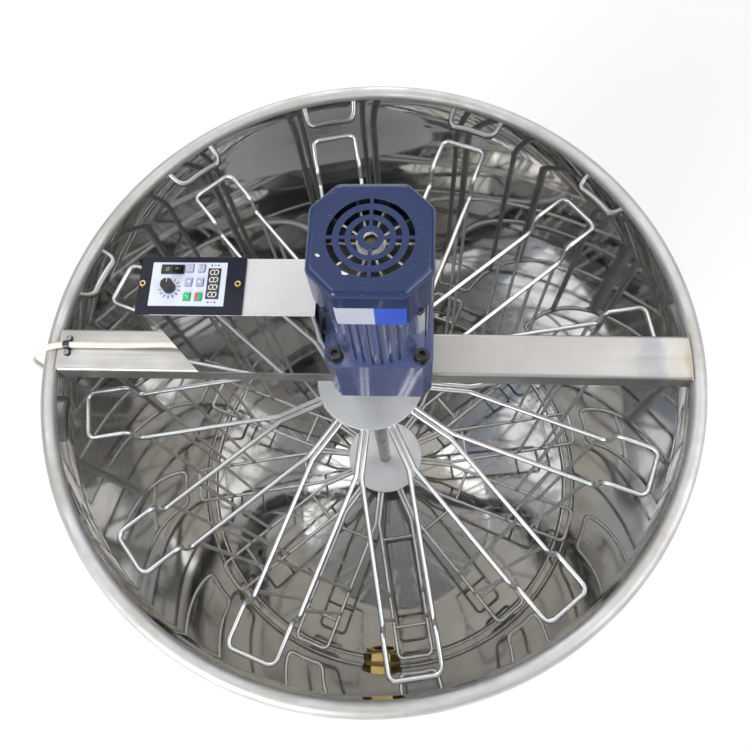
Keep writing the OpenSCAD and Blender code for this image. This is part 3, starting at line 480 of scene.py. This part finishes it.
# A dark ring in the crease where the cone meets the bead: painted shade.
painted_crease_shade = metal("crease_painted_shade", (0.33, 0.30, 0.27), rough=0.4, lines=(90, 90, 90), streak=0.2,
                wave_size=9.0, stain=0.3)
dress(bottom, cone_steel, "steel_polished", "drum_bottom")
bottom.data.materials.append(bead_highlight_steel)
bottom.data.materials.append(painted_crease_shade)
# Faces on the bead take the bead's steel. Faces in the crease between the cone's edge and the bead take the
# dark painted shade.
for face in bottom.data.polygons:
    reach = math.hypot(face.center.x, face.center.y)
    if face.center.z > seam_z - 0.0002 and cone_edge < reach < bead_x + bead_r + foot:
        face.material_index = 1 if reach > bead_x - bead_r + foot else 2

# Legs: three stainless tubes, each welded to a curved saddle plate on the drum, with a round foot plate below
# that has a hole for an anchor.
leg_steel = metal("leg_steel", (0.60, 0.60, 0.59), rough=0.22, lines=(60, 60, 8), streak=0.16,
                  wave=0.3, wave_size=9.0, stain=0.04)
for name in ("leg_1", "leg_2", "leg_3"):
    remade(name, leg_steel, "steel_plain")


# Cross beam: a folded stainless channel across the mouth, brushed along its length, welded to the wall at
# both ends. The heat of the weld has left straw and blue fields on the right end.
def ripple_bead(name, path, d):
    """A laid weld bead: a wire whose thickness swells and shrinks with each pool."""
    laid = wire_piece(name, [path], d, rings=3)
    for k, p in enumerate(laid.data.splines[0].points):
        p.radius = 0.72 + 0.28 * abs(math.sin(k * 0.9)) + 0.06 * math.sin(k * 2.3)
    return laid


def along(a, b, step):
    """Points on a straight line, a step apart."""
    a = Vector(a)
    b = Vector(b)
    n = max(2, round((b - a).length / step))
    return [a.lerp(b, k / n) for k in range(n + 1)]


def heat_bands(mat, end, reach):
    """Straw beside the weld, then a bright field and a blue grey one, fading inward from the beam's end."""
    tree = mat.node_tree
    add = node_adder(tree)
    bsdf = tree.nodes["Principled BSDF"]
    bare = bsdf.inputs["Base Color"].links[0].from_socket
    place = add("ShaderNodeTexCoord").outputs["Object"]
    ragged = 0.028
    start = end + ragged / 2
    x = add("ShaderNodeSeparateXYZ", {0: place}).outputs["X"]
    shift = add("ShaderNodeMath", {0: noise(add, place, 55.0, Detail=4.0), 1: ragged, 2: x},
                operation="MULTIPLY_ADD")
    ramp = add("ShaderNodeValToRGB", {"Fac": spread(add, shift.outputs[0], (start, start - reach))})
    colour_stops(ramp, ((0.0, (0.90, 0.80, 0.66)), (0.10, (1.08, 1.05, 1.0)), (0.36, (1.12, 1.12, 1.12)),
                        (0.50, (0.82, 0.87, 0.97)), (0.74, (0.88, 0.92, 0.99)), (0.84, (1, 1, 1)),
                        (1.0, (1, 1, 1))))
    tinted = colour_mix(add, 1.0, bare, ramp.outputs["Color"], blend_type="MULTIPLY")
    feed(tree, bsdf, {"Base Color": tinted})


beam_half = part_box("cross_beam")[1].y
beam_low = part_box("cross_beam")[0].z
weld_step = 0.0012
weld_foot = beam_low + 0.001
weld_top = rim_top - 0.002
ridge_z = rim_top - 0.0012
ridge_r = drum_r - 0.0003
side_r = drum_r - 0.0005
beam_steel = metal("beam_steel", (0.55, 0.537, 0.523), rough=0.36, lines=(5, 260, 260), streak=0.20,
                   wave=0.15, wave_size=6.0, stain=0.09)
heat_bands(beam_steel, end=0.349, reach=0.070)
remade("cross_beam", beam_steel, "steel_plain", ease=0.0005)
weld_steel = metal("weld_steel", (0.52, 0.50, 0.48), rough=0.30, lines=(90, 90, 90), streak=0.25,
                   wave_size=20.0, stain=0.25)
for side, end in ((1, "right"), (-1, "left")):
    edge_x = side * math.sqrt(side_r ** 2 - beam_half ** 2)
    up = along((edge_x, -beam_half, weld_foot), (edge_x, -beam_half, weld_top), weld_step)
    down = along((edge_x, beam_half, weld_top), (edge_x, beam_half, weld_foot), weld_step)
    across = []
    for k in range(round(2 * beam_half / weld_step) + 1):
        y = -beam_half + weld_step * k
        across.append((side * math.sqrt(ridge_r ** 2 - y * y), y, ridge_z))
    beam_weld = ripple_bead("beam_weld_" + end, up + across + down, d=0.0030)
    dress(beam_weld, weld_steel, "steel_plain", body="stand")

# Motor plate: a thick stainless plate on top of the beam, with a weld along each edge of the beam. It carries
# the gear case.
plate_steel = metal("plate_steel", (0.66, 0.66, 0.65), rough=0.28, lines=(40, 160, 40), streak=0.16,
                    wave=0.1, wave_size=9.0, stain=0.06)
remade("motor_plate", plate_steel, "steel_plain")
plate_seam = (-0.020, 0.060)
plate_seam_z = rim_top + 0.0004
for side, end in ((-1, "front"), (1, "back")):
    y = side * (beam_half - 0.0002)
    seam_ends = [(x, y, plate_seam_z) for x in plate_seam]
    plate_weld = ripple_bead("plate_weld_" + end, along(*seam_ends, weld_step), d=0.0026)
    dress(plate_weld, weld_steel, "steel_plain", body="stand")


# Gear case: an aluminium casting with cut corners in glossy slate blue enamel, bolted through to the motor
# plate.
def enamel(name, colour, rough, peel=0.25, worn=0.35, coat=0.5):
    """Gloss enamel with faint clouding, orange peel and hairline scratches."""
    mat, bsdf, add, tree = shader(name)
    place = add("ShaderNodeTexCoord").outputs["Object"]
    cloud = noise(add, place, 22.0, Detail=4.0)
    tone = colour_mix(add, cloud, [c * 0.88 for c in colour] + [1], [c * 1.12 for c in colour] + [1])
    marks = 0.0
    for turn, size in ((0.5, (90, 1500, 90)), (-0.9, (110, 1700, 110)), (1.9, (100, 1600, 100))):
        laid = add("ShaderNodeMapping", {"Vector": place, "Rotation": (0, 0, turn), "Scale": size})
        hair = noise(add, laid.outputs[0], 1.0, Detail=1.0)
        thin = spread(add, hair, (0.74, 0.80))
        marks = add("ShaderNodeMath", {0: thin, 1: marks}, operation="MAXIMUM").outputs[0]
    faint = add("ShaderNodeMath", {0: marks, 1: worn}, operation="MULTIPLY")
    scratched = colour_mix(add, faint.outputs[0], tone, [0.30 + c for c in colour] + [1])
    gloss = spread(add, cloud, result=(rough * 0.7, rough * 1.3))
    skin = noise(add, place, 520.0, Detail=1.0)
    relief = add("ShaderNodeBump", {"Strength": peel, "Distance": 0.00006, "Height": skin})
    feed(tree, bsdf, {"Base Color": scratched, "Roughness": gloss, "Normal": relief.outputs["Normal"],
                      "Specular IOR Level": 0.6 * coat, "Coat Weight": coat, "Coat Roughness": 0.06})
    return mat


slate_blue = enamel("slate_blue", (0.088, 0.118, 0.265), rough=0.16, coat=0.85)
remade("gear_case", slate_blue, "motor_paint", ease=0.0012, segments=3)

# Motor bolts and nuts: four black zinc plated socket head screws with flat washers, through motor flange,
# case and plate, with nuts below.
zinc = metal("black_zinc", (0.10, 0.10, 0.11), rough=0.24, lines=(120, 120, 120), streak=0.18,
             wave_size=30.0, stain=0.15)
remade("gear_bolts", zinc, "steel_bolt", ease=0.0004)
remade("gear_nuts", zinc, "steel_bolt", ease=0.0004)

# Motor body: an aluminium casting in the same enamel, with a square flange bolted to the gear case, cooling
# ribs down the barrel and an end shield.
remade("motor_body", slate_blue, "motor_paint")

# Fan cover: deep drawn sheet with rounded edges and three rings of air slots, pushed over the end shield
# and held by four side screws. The paint on top is scratched and has two chips, and a foil label is stuck
# round the front.
cover_half = 0.050
cover_h = 0.053
cover_cut = 0.022
cover_turn = 0.008
cover_t = 0.0015
cover_edge = 0.0055
cover_hem = 0.0004
cover_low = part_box("fan_cover")[0]
cover_at = Vector((cover_low.x + cover_half, 0, cover_low.z))


def cover_ring(bm, inset, z, corner):
    """One ring of the cover's cut square with turned corners, drawn in by inset."""
    steps = 4
    h = cover_half - inset
    c = cover_cut - (2 - math.sqrt(2)) * inset
    square = [Vector((x, y, z)) for x, y in ((c - h, -h), (h - c, -h), (h, c - h), (h, h - c),
                                             (h - c, h), (c - h, h), (-h, h - c), (-h, c - h))]
    loop = []
    for i in range(8):
        u = (square[i] - square[i - 1]).normalized()
        w = (square[(i + 1) % 8] - square[i]).normalized()
        side = (w - u * w.dot(u)).normalized()
        start = square[i] - u * corner * math.tan(math.pi / 8)
        for k in range(steps + 1):
            a = math.pi / 4 * k / steps
            loop.append(bm.verts.new(start + (u * math.sin(a) + side * (1 - math.cos(a))) * corner))
    return loop


def slot_loops():
    """Outlines of the air slots: three rings in four quarters, and the round hole over the shaft."""
    hole_r = 0.0055
    half_bridge = 0.0015
    steps = 16
    loops = [[(hole_r * math.cos(math.pi * k / 12), hole_r * math.sin(math.pi * k / 12)) for k in range(24)]]
    for r0, r1 in ((0.0105, 0.0155), (0.020, 0.0245), (0.030, 0.0345)):
        for q in range(4):
            loop = []
            for r, way in ((r1, 1), (r0, -1)):
                a = math.asin(half_bridge / r)
                for k in range(steps + 1)[::way]:
                    b = q * math.pi / 2 + a + (math.pi / 2 - 2 * a) * k / steps
                    loop.append((r * math.cos(b), r * math.sin(b)))
            loops.append(loop)
    return loops


bm = bmesh.new()
edge_z = cover_h - cover_edge
lining_edge = cover_edge - cover_t
lining_turn = cover_turn - 0.003
drawn = [(cover_hem, 0.0, cover_turn), (0.0, cover_hem, cover_turn), (0.0, edge_z, cover_turn)]
for a in angles(15, 15, 6):
    inset = cover_edge * (1 - math.cos(a))
    drawn.append((inset, edge_z + cover_edge * math.sin(a), cover_turn - 0.5 * inset))
lining = []
for a in angles(90, -30, 4):
    inset = cover_t + lining_edge * (1 - math.cos(a))
    lining.append((inset, edge_z + lining_edge * math.sin(a), lining_turn))
lining.append((cover_t, cover_hem, lining_turn))
rings = [cover_ring(bm, *r) for r in drawn]
inner_rings = [cover_ring(bm, *r) for r in lining]
for group in (rings, inner_rings, [inner_rings[-1], rings[0]]):
    for a, b in zip(group, group[1:]):
        for k in range(len(a)):
            bm.faces.new([a[k], a[(k + 1) % len(a)], b[(k + 1) % len(a)], b[k]])
slot_edges = []
for rim, z in ((rings[-1], cover_h), (inner_rings[0], cover_h - cover_t)):
    loops = [[bm.verts.new((x, y, z)) for x, y in loop] for loop in slot_loops()]
    edges = [bm.edges.get((rim[k], rim[k - 1])) for k in range(len(rim))]
    edges += [bm.edges.new((loop[k], loop[k - 1])) for loop in loops for k in range(len(loop))]
    bmesh.ops.triangle_fill(bm, edges=edges, use_beauty=True, normal=(0, 0, 1))
    slot_edges.append(loops)
for a, b in zip(*slot_edges):
    for k in range(len(a)):
        bm.faces.new([a[k], a[k - 1], b[k - 1], b[k]])
bmesh.ops.recalc_face_normals(bm, faces=bm.faces)
bmesh.ops.translate(bm, verts=bm.verts, vec=cover_at)
cover = piece_from("fan_cover_drawn", bm, sharp=40)
bevel(cover, "slot_edges", width=0.0003, segments=2, sharp=40)
cover.modifiers.new("even_normals", "WEIGHTED_NORMAL").keep_sharp = True
cover_blue = enamel("cover_blue", (0.019, 0.037, 0.110), rough=0.22, peel=0.3, worn=0.5, coat=0.4)
dress(cover, cover_blue, "cover_paint", "fan_cover")
remade("cover_screws", zinc, "steel_bolt", ease=0.0004)


def flat_marks(name, outlines, place, t=0.0001):
    """Thin shapes cut from their outlines, laid on the plane that place gives."""
    bm = bmesh.new()
    for outline in outlines:
        low = [bm.verts.new((x, y, 0)) for x, y in outline]
        high = [bm.verts.new((x, y, t)) for x, y in outline]
        bm.faces.new(high)
        bm.faces.new(low[::-1])
        for k in range(len(low)):
            bm.faces.new([low[k - 1], low[k], high[k], high[k - 1]])
    bmesh.ops.recalc_face_normals(bm, faces=bm.faces)
    bmesh.ops.transform(bm, matrix=place, verts=bm.verts)
    return piece_from(name, bm)


def moved(outline, dx, dy):
    """An outline shifted to its place."""
    return [(x + dx, y + dy) for x, y in outline]


left_chip = [(-0.0022, 0.0008), (-0.0008, -0.0010), (0.0012, -0.0016), (0.0021, -0.0002),
             (0.0006, 0.0004), (0.0001, 0.0015)]
front_chip = [(-0.0026, 0.0017), (-0.0020, -0.0016), (0.0004, -0.0022), (0.0034, -0.0013),
              (0.0012, -0.0002), (-0.0010, 0.0008)]
chip_outlines = [moved(left_chip, -0.0400, -0.0158), moved(front_chip, -0.0184, -0.0304)]
cover_face = Matrix.Translation(cover_at + Vector((0, 0, cover_h - 0.00005)))
primer = moulded("bare_primer", (0.72, 0.71, 0.70), rough=0.5, mottle=0.2, grain=700, bump=0.4)
dress(flat_marks("paint_chips", chip_outlines, cover_face), primer, "cover_paint", body="stand")
label_low = 0.0006
label_high = 0.0312
label_in = -0.00005
label_out = 0.00012
label_steps = 24


def label_half(name, x0, x1):
    """One half of the foil label, which follows the front of the skirt and its turned corners."""
    flat = cover_half - cover_cut - cover_turn * math.tan(math.pi / 8)
    corners = ((label_low, label_in), (label_low, label_out), (label_high, label_out), (label_high, label_in))
    bm = bmesh.new()
    rows = []
    for k in range(label_steps + 1):
        x = x0 + (x1 - x0) * k / label_steps
        over = max(0, abs(x) - flat)
        y = cover_turn - math.sqrt(cover_turn ** 2 - over ** 2) - cover_half
        rows.append([bm.verts.new(cover_at + Vector((x, y - lift, z))) for z, lift in corners])
    for a, b in zip(rows, rows[1:]):
        for k in range(4):
            bm.faces.new([a[k], b[k], b[(k + 1) % 4], a[(k + 1) % 4]])
    bm.faces.new(rows[0])
    bm.faces.new(rows[-1][::-1])
    bmesh.ops.recalc_face_normals(bm, faces=bm.faces)
    return piece_from(name, bm)


silver_foil = moulded("label_silver", (0.56, 0.61, 0.72), rough=0.35, mottle=0.04, grain=1200, bump=0.02)
blue_foil = moulded("label_blue", (0.035, 0.10, 0.62), rough=0.3, mottle=0.04, grain=1200, bump=0.02,
                    coat=0.3)
label_end = 0.0285
label_split = 0.0028
dress(label_half("label_grey_half", -label_end, label_split), silver_foil, "panel_film", body="stand")
dress(label_half("label_blue_half", label_split, label_end), blue_foil, "panel_film", body="stand")

# Cooling fan: a cast aluminium impeller, bright where it shows through the slots, on the end of the oiled
# steel rotor shaft.
cast = metal("cast_aluminium", (0.86, 0.86, 0.85), rough=0.34, lines=(260, 260, 260), streak=0.25,
             wave_size=40.0, stain=0.10)
oiled = metal("oiled_shaft", (0.16, 0.14, 0.12), rough=0.28, lines=(200, 200, 200), streak=0.2,
              wave_size=30.0, stain=0.3)
remade("cooling_fan", cast, "cast_aluminium", ease=0.0004)
remade("rotor_shaft", oiled, "steel_bolt")

# Drive line: the gear case's output shaft, a bored coupling sleeve with two set screws, and the main shaft
# that stands on a ball in a plastic bush inside a welded cup.
shaft_steel = metal("shaft_steel", (0.56, 0.56, 0.56), rough=0.20, lines=(20, 20, 500), streak=0.15,
                    wave_size=12.0, stain=0.08)
remade("output_shaft", shaft_steel, "steel_bolt", ease=0.0005)
remade("shaft_coupling", plate_steel, "steel_plain", ease=0.0008)
remade("coupling_screws", zinc, "steel_bolt", ease=0.0002)
remade("main_shaft", shaft_steel, "steel_plain")
remade("bearing_cup", plate_steel, "steel_plain")
remade("bearing_bush", moulded("bush_plastic", (0.72, 0.66, 0.50), rough=0.45), "pom", ease=0.0005)
remade("thrust_ball", shaft_steel, "steel_bolt", ease=0)
cup_r = 0.0286
cup_z = cone_top + 0.0034
cup_ring = [(cup_r * math.cos(a), cup_r * math.sin(a), cup_z) for a in angles(0, 2.5, 145)]
dress(ripple_bead("cup_weld", cup_ring, d=0.0030), weld_steel, "steel_plain", body="stand")

# Hubs: two round stainless plates with sleeves on the main shaft, satin from a turning polish. The spokes of
# the basket are welded under them.
hub_steel = metal("hub_steel", (0.93, 0.95, 0.99), rough=0.45, lines=(240, 240, 240), streak=0.14,
                  wave=0.2, wave_size=8.0, stain=0.05)
for name in ("upper_hub", "lower_hub"):
    remade(name, hub_steel, "steel_plain")

# Basket wires: twelve slots, each a loop of stainless rod above and below, bent in one piece. The upper loops
# step up near the wall to carry the frames' lugs. Uprights and rungs of thinner rod are welded between.
slots = 12
first_slot = 10.3
upper_z = rim_top - 0.093
lower_z = seam_z + 0.130
rod_d = 0.006
thin_d = 0.005
half_w = 0.028
loop_r = 0.338
step_r = 0.289
step_h = 0.030
knee_x = 0.1174
knee_bend = 0.018
bend = 0.009
spoke_r = 0.034
spoke_side = 0.00335
spoke_turn = math.radians(15)
upright_xs = (0.237, 0.277)
rung_xs = (knee_x + 0.027, step_r)
upright_seat = 0.0022
rung_seat = 0.0024
spot_in = 0.0006


def loop_path(points, radii):
    """One wire loop: out along a spoke, along the rail and round the end, and back the same way."""
    c = math.cos(spoke_turn)
    s = math.sin(spoke_turn)
    start = Vector((spoke_r * c + spoke_side * s, spoke_side * c - spoke_r * s, 0))
    half = [start, Vector((knee_x, -half_w, 0))] + [Vector(p) for p in points]
    whole = half + [Vector((p.x, -p.y, p.z)) for p in reversed(half)]
    bends = [0, knee_bend] + radii
    return rounded_path(whole, bends + bends[::-1], step=12)


def at_slots(path, z=0):
    """The same path at each of the slots."""
    lift = Matrix.Translation((0, 0, z))
    turns = [lift @ Matrix.Rotation(math.radians(first_slot + 360 / slots * i), 4, "Z") for i in range(slots)]
    return [[m @ Vector(p) for p in path] for m in turns]


def add_rods(rods, spots, a, b):
    """A straight rod at each of the slots, with a weld spot at both ends."""
    a = Vector(a)
    b = Vector(b)
    inward = (b - a).normalized() * spot_in
    rods.extend(at_slots([a, (a + b) / 2, b]))
    spots.extend(at_slots([a + inward, b - inward]))


wire_steel = metal("wire_steel", (0.86, 0.86, 0.87), rough=0.30, lines=(70, 70, 70), streak=0.14,
                   wave_size=14.0, stain=0.05)
upper_loop = loop_path([(step_r, -half_w, 0), (step_r, -half_w, step_h), (loop_r, -half_w, step_h)],
                       [bend, bend, bend])
lower_loop = loop_path([(loop_r, -half_w, 0)], [bend])
upper_wires = wire_piece("upper_loop_wires", at_slots(upper_loop, upper_z), rod_d, rings=3)
lower_wires = wire_piece("lower_loop_wires", at_slots(lower_loop, lower_z), rod_d, rings=3)
dress(upper_wires, wire_steel, "steel_wire", "upper_loops")
dress(lower_wires, wire_steel, "steel_wire", "lower_loops")
spots = []
upright_rods = []
for x in upright_xs:
    for y in (-half_w, half_w):
        add_rods(upright_rods, spots, (x, y, lower_z + upright_seat), (x, y, upper_z - upright_seat))
dress(wire_piece("upright_rods", upright_rods, thin_d, rings=2), wire_steel, "steel_wire", "uprights")
rung_rods = []
rung_end = half_w - rung_seat
for x in rung_xs:
    add_rods(rung_rods, spots, (x, -rung_end, lower_z), (x, rung_end, lower_z))
dress(wire_piece("rung_rods", rung_rods, thin_d, rings=2), wire_steel, "steel_wire", "rungs")
bm = bmesh.new()
spot_shape = Matrix.Diagonal((0.0034, 0.0037, 0.0026, 1))
for pair in spots:
    for spot in pair:
        shape = Matrix.Translation(spot) @ Matrix.Rotation(spot.x * 40, 4, "Z") @ spot_shape
        bmesh.ops.create_icosphere(bm, subdivisions=2, radius=1.0, matrix=shape)
dress(piece_from("wire_welds", bm, sharp=60), weld_steel, "steel_wire", body="basket")

# Control box: a folded box of mirror polished stainless sheet that stands on the beam, open below. Its satin
# top has a front fold that shows as a line, and a black controller case sits inside.
box_steel = metal("box_mirror", (0.60, 0.61, 0.63), rough=0.012, lines=(8, 8, 120), streak=0.04,
                  wave=0.25, wave_size=5.0, stain=0.05)
satin = metal("box_top_satin", (0.70, 0.70, 0.715), rough=0.46, lines=(10, 420, 420), streak=0.12,
              wave=0.05, wave_size=12.0, stain=0.03)
box = remade("control_box", box_steel, "steel_polished", ease=0.0010, segments=3)
box.data.materials.append(satin)
for face in box.data.polygons:
    face.material_index = int(face.normal.z > 0.9)
lid_left = -0.0997
lid_right = -0.0342
lid_front = -0.0226
lid_back = 0.0315
lid_face = Matrix.Translation((0, 0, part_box("control_box")[1].z - 0.00004))
lid_outline = [(lid_left, lid_front), (lid_right, lid_front), (lid_right, lid_back), (lid_left, lid_back)]
dress(flat_marks("box_top_skin", [lid_outline], lid_face, t=0.0005), satin, "steel_plain", body="stand")
case_black = moulded("case_black", (0.025, 0.025, 0.027), rough=0.5)
remade("controller_case", case_black, "black_plastic")

# Face plate: a dark navy powder coated plate that stands past the box's end, held by two brass screws, with a
# pale printed sheet around the controls.
navy = enamel("navy_coat", (0.014, 0.018, 0.032), rough=0.38, peel=0.6, worn=0.12, coat=0.15)
remade("face_plate", navy, "face_paint")
pale = moulded("pale_film", (0.72, 0.78, 0.94), rough=0.35, mottle=0.03, grain=1600, bump=0.03)
remade("panel_sheet", pale, "panel_film", ease=0.0001)
brass_turned = metal("turned_brass", (0.74, 0.56, 0.28), rough=0.24, lines=(300, 300, 300), streak=0.16,
                     wave_size=40.0, stain=0.15)
screws = remade("plate_screws", brass_turned, "brass", ease=0.0004)
# The floors of the screws' recesses get a near black material: painted shade in the recesses.
screws.data.materials.append(moulded("recess_painted_shade", (0.015, 0.013, 0.012), rough=0.6))
screw_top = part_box("plate_screws")[1].z
for face in screws.data.polygons:
    face.material_index = int(face.normal.z > 0.9 and 0.0002 < screw_top - face.center.z < 0.003)
ink_t = 0.00008
ink_sink = 0.00003
lamp_x = 0.003
lamp_y = 0.0185
lamp_r = 0.0008


def over(around, on, sink):
    """The middle of one node at the height of another's top, sunk a little."""
    low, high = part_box(around)
    return Matrix.Translation(((low.x + high.x) / 2, (low.y + high.y) / 2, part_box(on)[1].z - sink))


def printed(name, outlines, mat, around, on, body="stand", sink=ink_sink, t=ink_t, slot="panel_film"):
    """Flat marks round the middle of one node, printed on the top of another."""
    return dress(flat_marks(name, outlines, over(around, on, sink), t), mat, slot, body=body)


def bar(x, y, w, h):
    """Corners of a small upright rectangle around a point."""
    return [(x - w / 2, y - h / 2), (x + w / 2, y - h / 2), (x + w / 2, y + h / 2), (x - w / 2, y + h / 2)]


tick_in = 0.0076
tick_out = 0.0102
tick_half = 0.0004
ticks = []
for a in angles(90, -26, 11):
    u = Vector((math.cos(a), math.sin(a)))
    v = Vector((-math.sin(a), math.cos(a))) * tick_half
    ticks.append([u * tick_in - v, u * tick_out - v, u * tick_out + v, u * tick_in + v])
round_dot = [(lamp_r * math.cos(math.pi * k / 8), lamp_r * math.sin(math.pi * k / 8)) for k in range(16)]
dots = [moved(round_dot, x, y) for x in (-lamp_x, lamp_x) for y in (-lamp_y, lamp_y)]
lamp_bars = [bar(0, y, 0.0014, 0.0014) for y in (-lamp_y, lamp_y)]
ink = moulded("black_ink", (0.02, 0.02, 0.025), rough=0.4)
green_ink = moulded("green_ink", (0.05, 0.50, 0.25), rough=0.4)
printed("dial_ticks", ticks, ink, "knob", "panel_sheet")
printed("lamp_dots", dots, ink, "display", "panel_sheet", t=0.0002)
printed("lamp_signs", lamp_bars, green_ink, "display", "panel_sheet", slot="green_key")

# Display: a dark window set in the panel sheet, with four white seven bar figures, which read across the
# plate.
window = moulded("display_dark", (0.012, 0.012, 0.014), rough=0.12, mottle=0.1, grain=200, bump=0.0)
remade("display", window, "display_glass", ease=0.0002)
bar_t = 0.0009
bar_x = 0.0036
bar_y = 0.0022
figure_gap = 0.0074
figure_lean = 0.12
figures = []
for n in range(4):
    y0 = (n - 1.5) * figure_gap
    strokes = [(x, 0, bar_t, 0.0034) for x in (-bar_x, 0, bar_x)]
    strokes += [(x, y, 0.0027, bar_t) for x in (-bar_x / 2, bar_x / 2) for y in (-bar_y, bar_y)]
    for x, y, w, h in strokes:
        figures.append([(cx + (cy - y0) * figure_lean, cy) for cx, cy in bar(x, y + y0, w, h)])
figure_white = moulded("figure_white", (0.82, 0.82, 0.84), rough=0.4, mottle=0.02)
printed("display_figures", figures, figure_white, "display", "display", sink=0.00002)

# Rocker switch: a glossy black rocker that tilts in a bezel set into the plate, with the ring and bar signs
# for off and on.
gloss_black = moulded("gloss_black", (0.012, 0.012, 0.014), rough=0.22, mottle=0.1, grain=600, bump=0.05)
remade("rocker_frame", gloss_black, "black_plastic", ease=0.0003)
remade("rocker", gloss_black, "black_plastic", ease=0.0003)
rocker_rest = 8
rocker_slope = 8.84
rocker_pivot = 0.0009
sign_x = 0.0045
sign_z = 0.0029
sign_r = 0.0014
sign_half = 0.0016
tilt = over("rocker_frame", "panel_sheet", rocker_pivot) @ Matrix.Rotation(math.radians(-rocker_rest), 4, "Y")


def on_rocker(side):
    """The middle of one half of the rocker's top, which slopes up towards its end."""
    slope = Matrix.Rotation(math.radians(-rocker_slope * side), 4, "Y")
    return tilt @ Matrix.Translation((sign_x * side, 0, sign_z)) @ slope


ring = [on_rocker(-1) @ Vector((sign_r * math.cos(a), sign_r * math.sin(a), 0)) for a in angles(0, 20, 19)]
line = [on_rocker(1) @ Vector((x, 0, 0)) for x in (-sign_half, 0, sign_half)]
sign_white = moulded("sign_white", (0.75, 0.75, 0.78), rough=0.4)
signs = wire_piece("rocker_signs", [ring, line], d=0.0004, rings=1)
dress(signs, sign_white, "panel_film", body="power_rocker")

# Speed knob and keys: a ribbed black knob with a pointer, which turns in the plate, and six moulded keys that
# press into it, four of them grey blue, one green and one half red.
knob_black = moulded("knob_black", (0.018, 0.018, 0.02), rough=0.38, mottle=0.15, bump=0.2)
remade("knob", knob_black, "black_plastic", ease=0.0004)
pointer_white = moulded("pointer_white", (0.7, 0.7, 0.7), rough=0.45)
printed("knob_pointer", [bar(0, 0.0034, 0.0008, 0.0038)], pointer_white, "knob", "knob", body="speed_knob",
        sink=0.00062, t=0.0001)


def key_finish(name, colour, rough=0.32, mottle=0.05):
    """The moulded plastic of a key."""
    return moulded(name, colour, rough, mottle=mottle, bump=0.1)


grey_blue = key_finish("key_grey_blue", (0.40, 0.44, 0.60), rough=0.35, mottle=0.04)
green = key_finish("key_green", (0.02, 0.50, 0.16))
half_green = key_finish("key_green_half", (0.02, 0.45, 0.18))
for n, finish, slot in ((1, grey_blue, "grey_key"), (2, grey_blue, "grey_key"), (3, grey_blue, "grey_key"),
                        (4, grey_blue, "grey_key"), (5, green, "green_key"), (6, half_green, "red_key")):
    remade("key_%d" % n, finish, slot, ease=0.0004)
sign = moulded("key_sign", (0.82, 0.83, 0.88), rough=0.4, mottle=0.02)
stroke = 0.0005
frame_bars = [bar(-0.0020, 0, stroke, 0.0050), bar(0.0020, 0, stroke, 0.0050),
              bar(0, -0.0025, 0.0045, stroke)]
left_arrow = [(0.0012, 0.0016), (-0.0016, 0), (0.0012, -0.0016)]
right_arrow = [(-0.0012, -0.0016), (0.0016, 0), (-0.0012, 0.0016)]
short_bars = [bar(-0.0006, 0.0008, 0.0020, stroke), bar(0.0004, -0.0008, 0.0020, stroke)]
for n, mark, outlines in ((1, "frame", frame_bars), (2, "frame", frame_bars), (3, "arrow", [left_arrow]),
                          (4, "arrow", [right_arrow]), (5, "mark", short_bars)):
    key = "key_%d" % n
    printed("key_%s_%d" % (mark, n), outlines, sign, key, key, body="press_%d" % n)
printed("key_red_half", [bar(-0.0013, 0, 0.0024, 0.0066)], key_finish("key_red", (0.75, 0.06, 0.07)),
        "key_6", "key_6", body="press_6", t=0.0001, slot="red_key")

# Lead fittings: the tapered plastic sleeve where the lead leaves the box, and a black steel strap clip that
# holds the lead to the beam with two screws.
remade("grommet", cream_sheath, "cable_pvc", ease=0.0004)
clip_black = enamel("clip_black", (0.02, 0.02, 0.022), rough=0.25, peel=0.3, worn=0.4)
remade("cable_clip", clip_black, "clip_steel", ease=0.0003)
clip_screw_steel = metal("clip_screw_steel", (0.36, 0.36, 0.37), rough=0.3, lines=(200, 200, 200), streak=0.2)
remade("clip_screws", clip_screw_steel, "steel_bolt", ease=0.0004)

# Honey gate: a brass pipe through the wall with a lock nut and seals, and outside a cast body whose flap
# swings on a pivot and is held shut by a wing nut.
cast_brass = metal("cast_brass", (0.94, 0.70, 0.28), rough=0.24, lines=(140, 140, 140), streak=0.20,
                   wave=0.3, wave_size=30.0, stain=0.18)
for name, ease in (("outlet_pipe", 0.0006), ("lock_nut", 0.0010), ("gate_body", 0.0010),
                   ("gate_plate", 0.0008), ("gate_pivot", 0.0005), ("gate_wing", 0.0006)):
    remade(name, cast_brass, "brass", ease=ease)
silicone = moulded("silicone_amber", (0.52, 0.36, 0.12), rough=0.45, mottle=0.05, grain=300, bump=0.05)
remade("inner_seal", silicone, "silicone", ease=0.0004)
remade("outer_seal", silicone, "silicone", ease=0.0004)
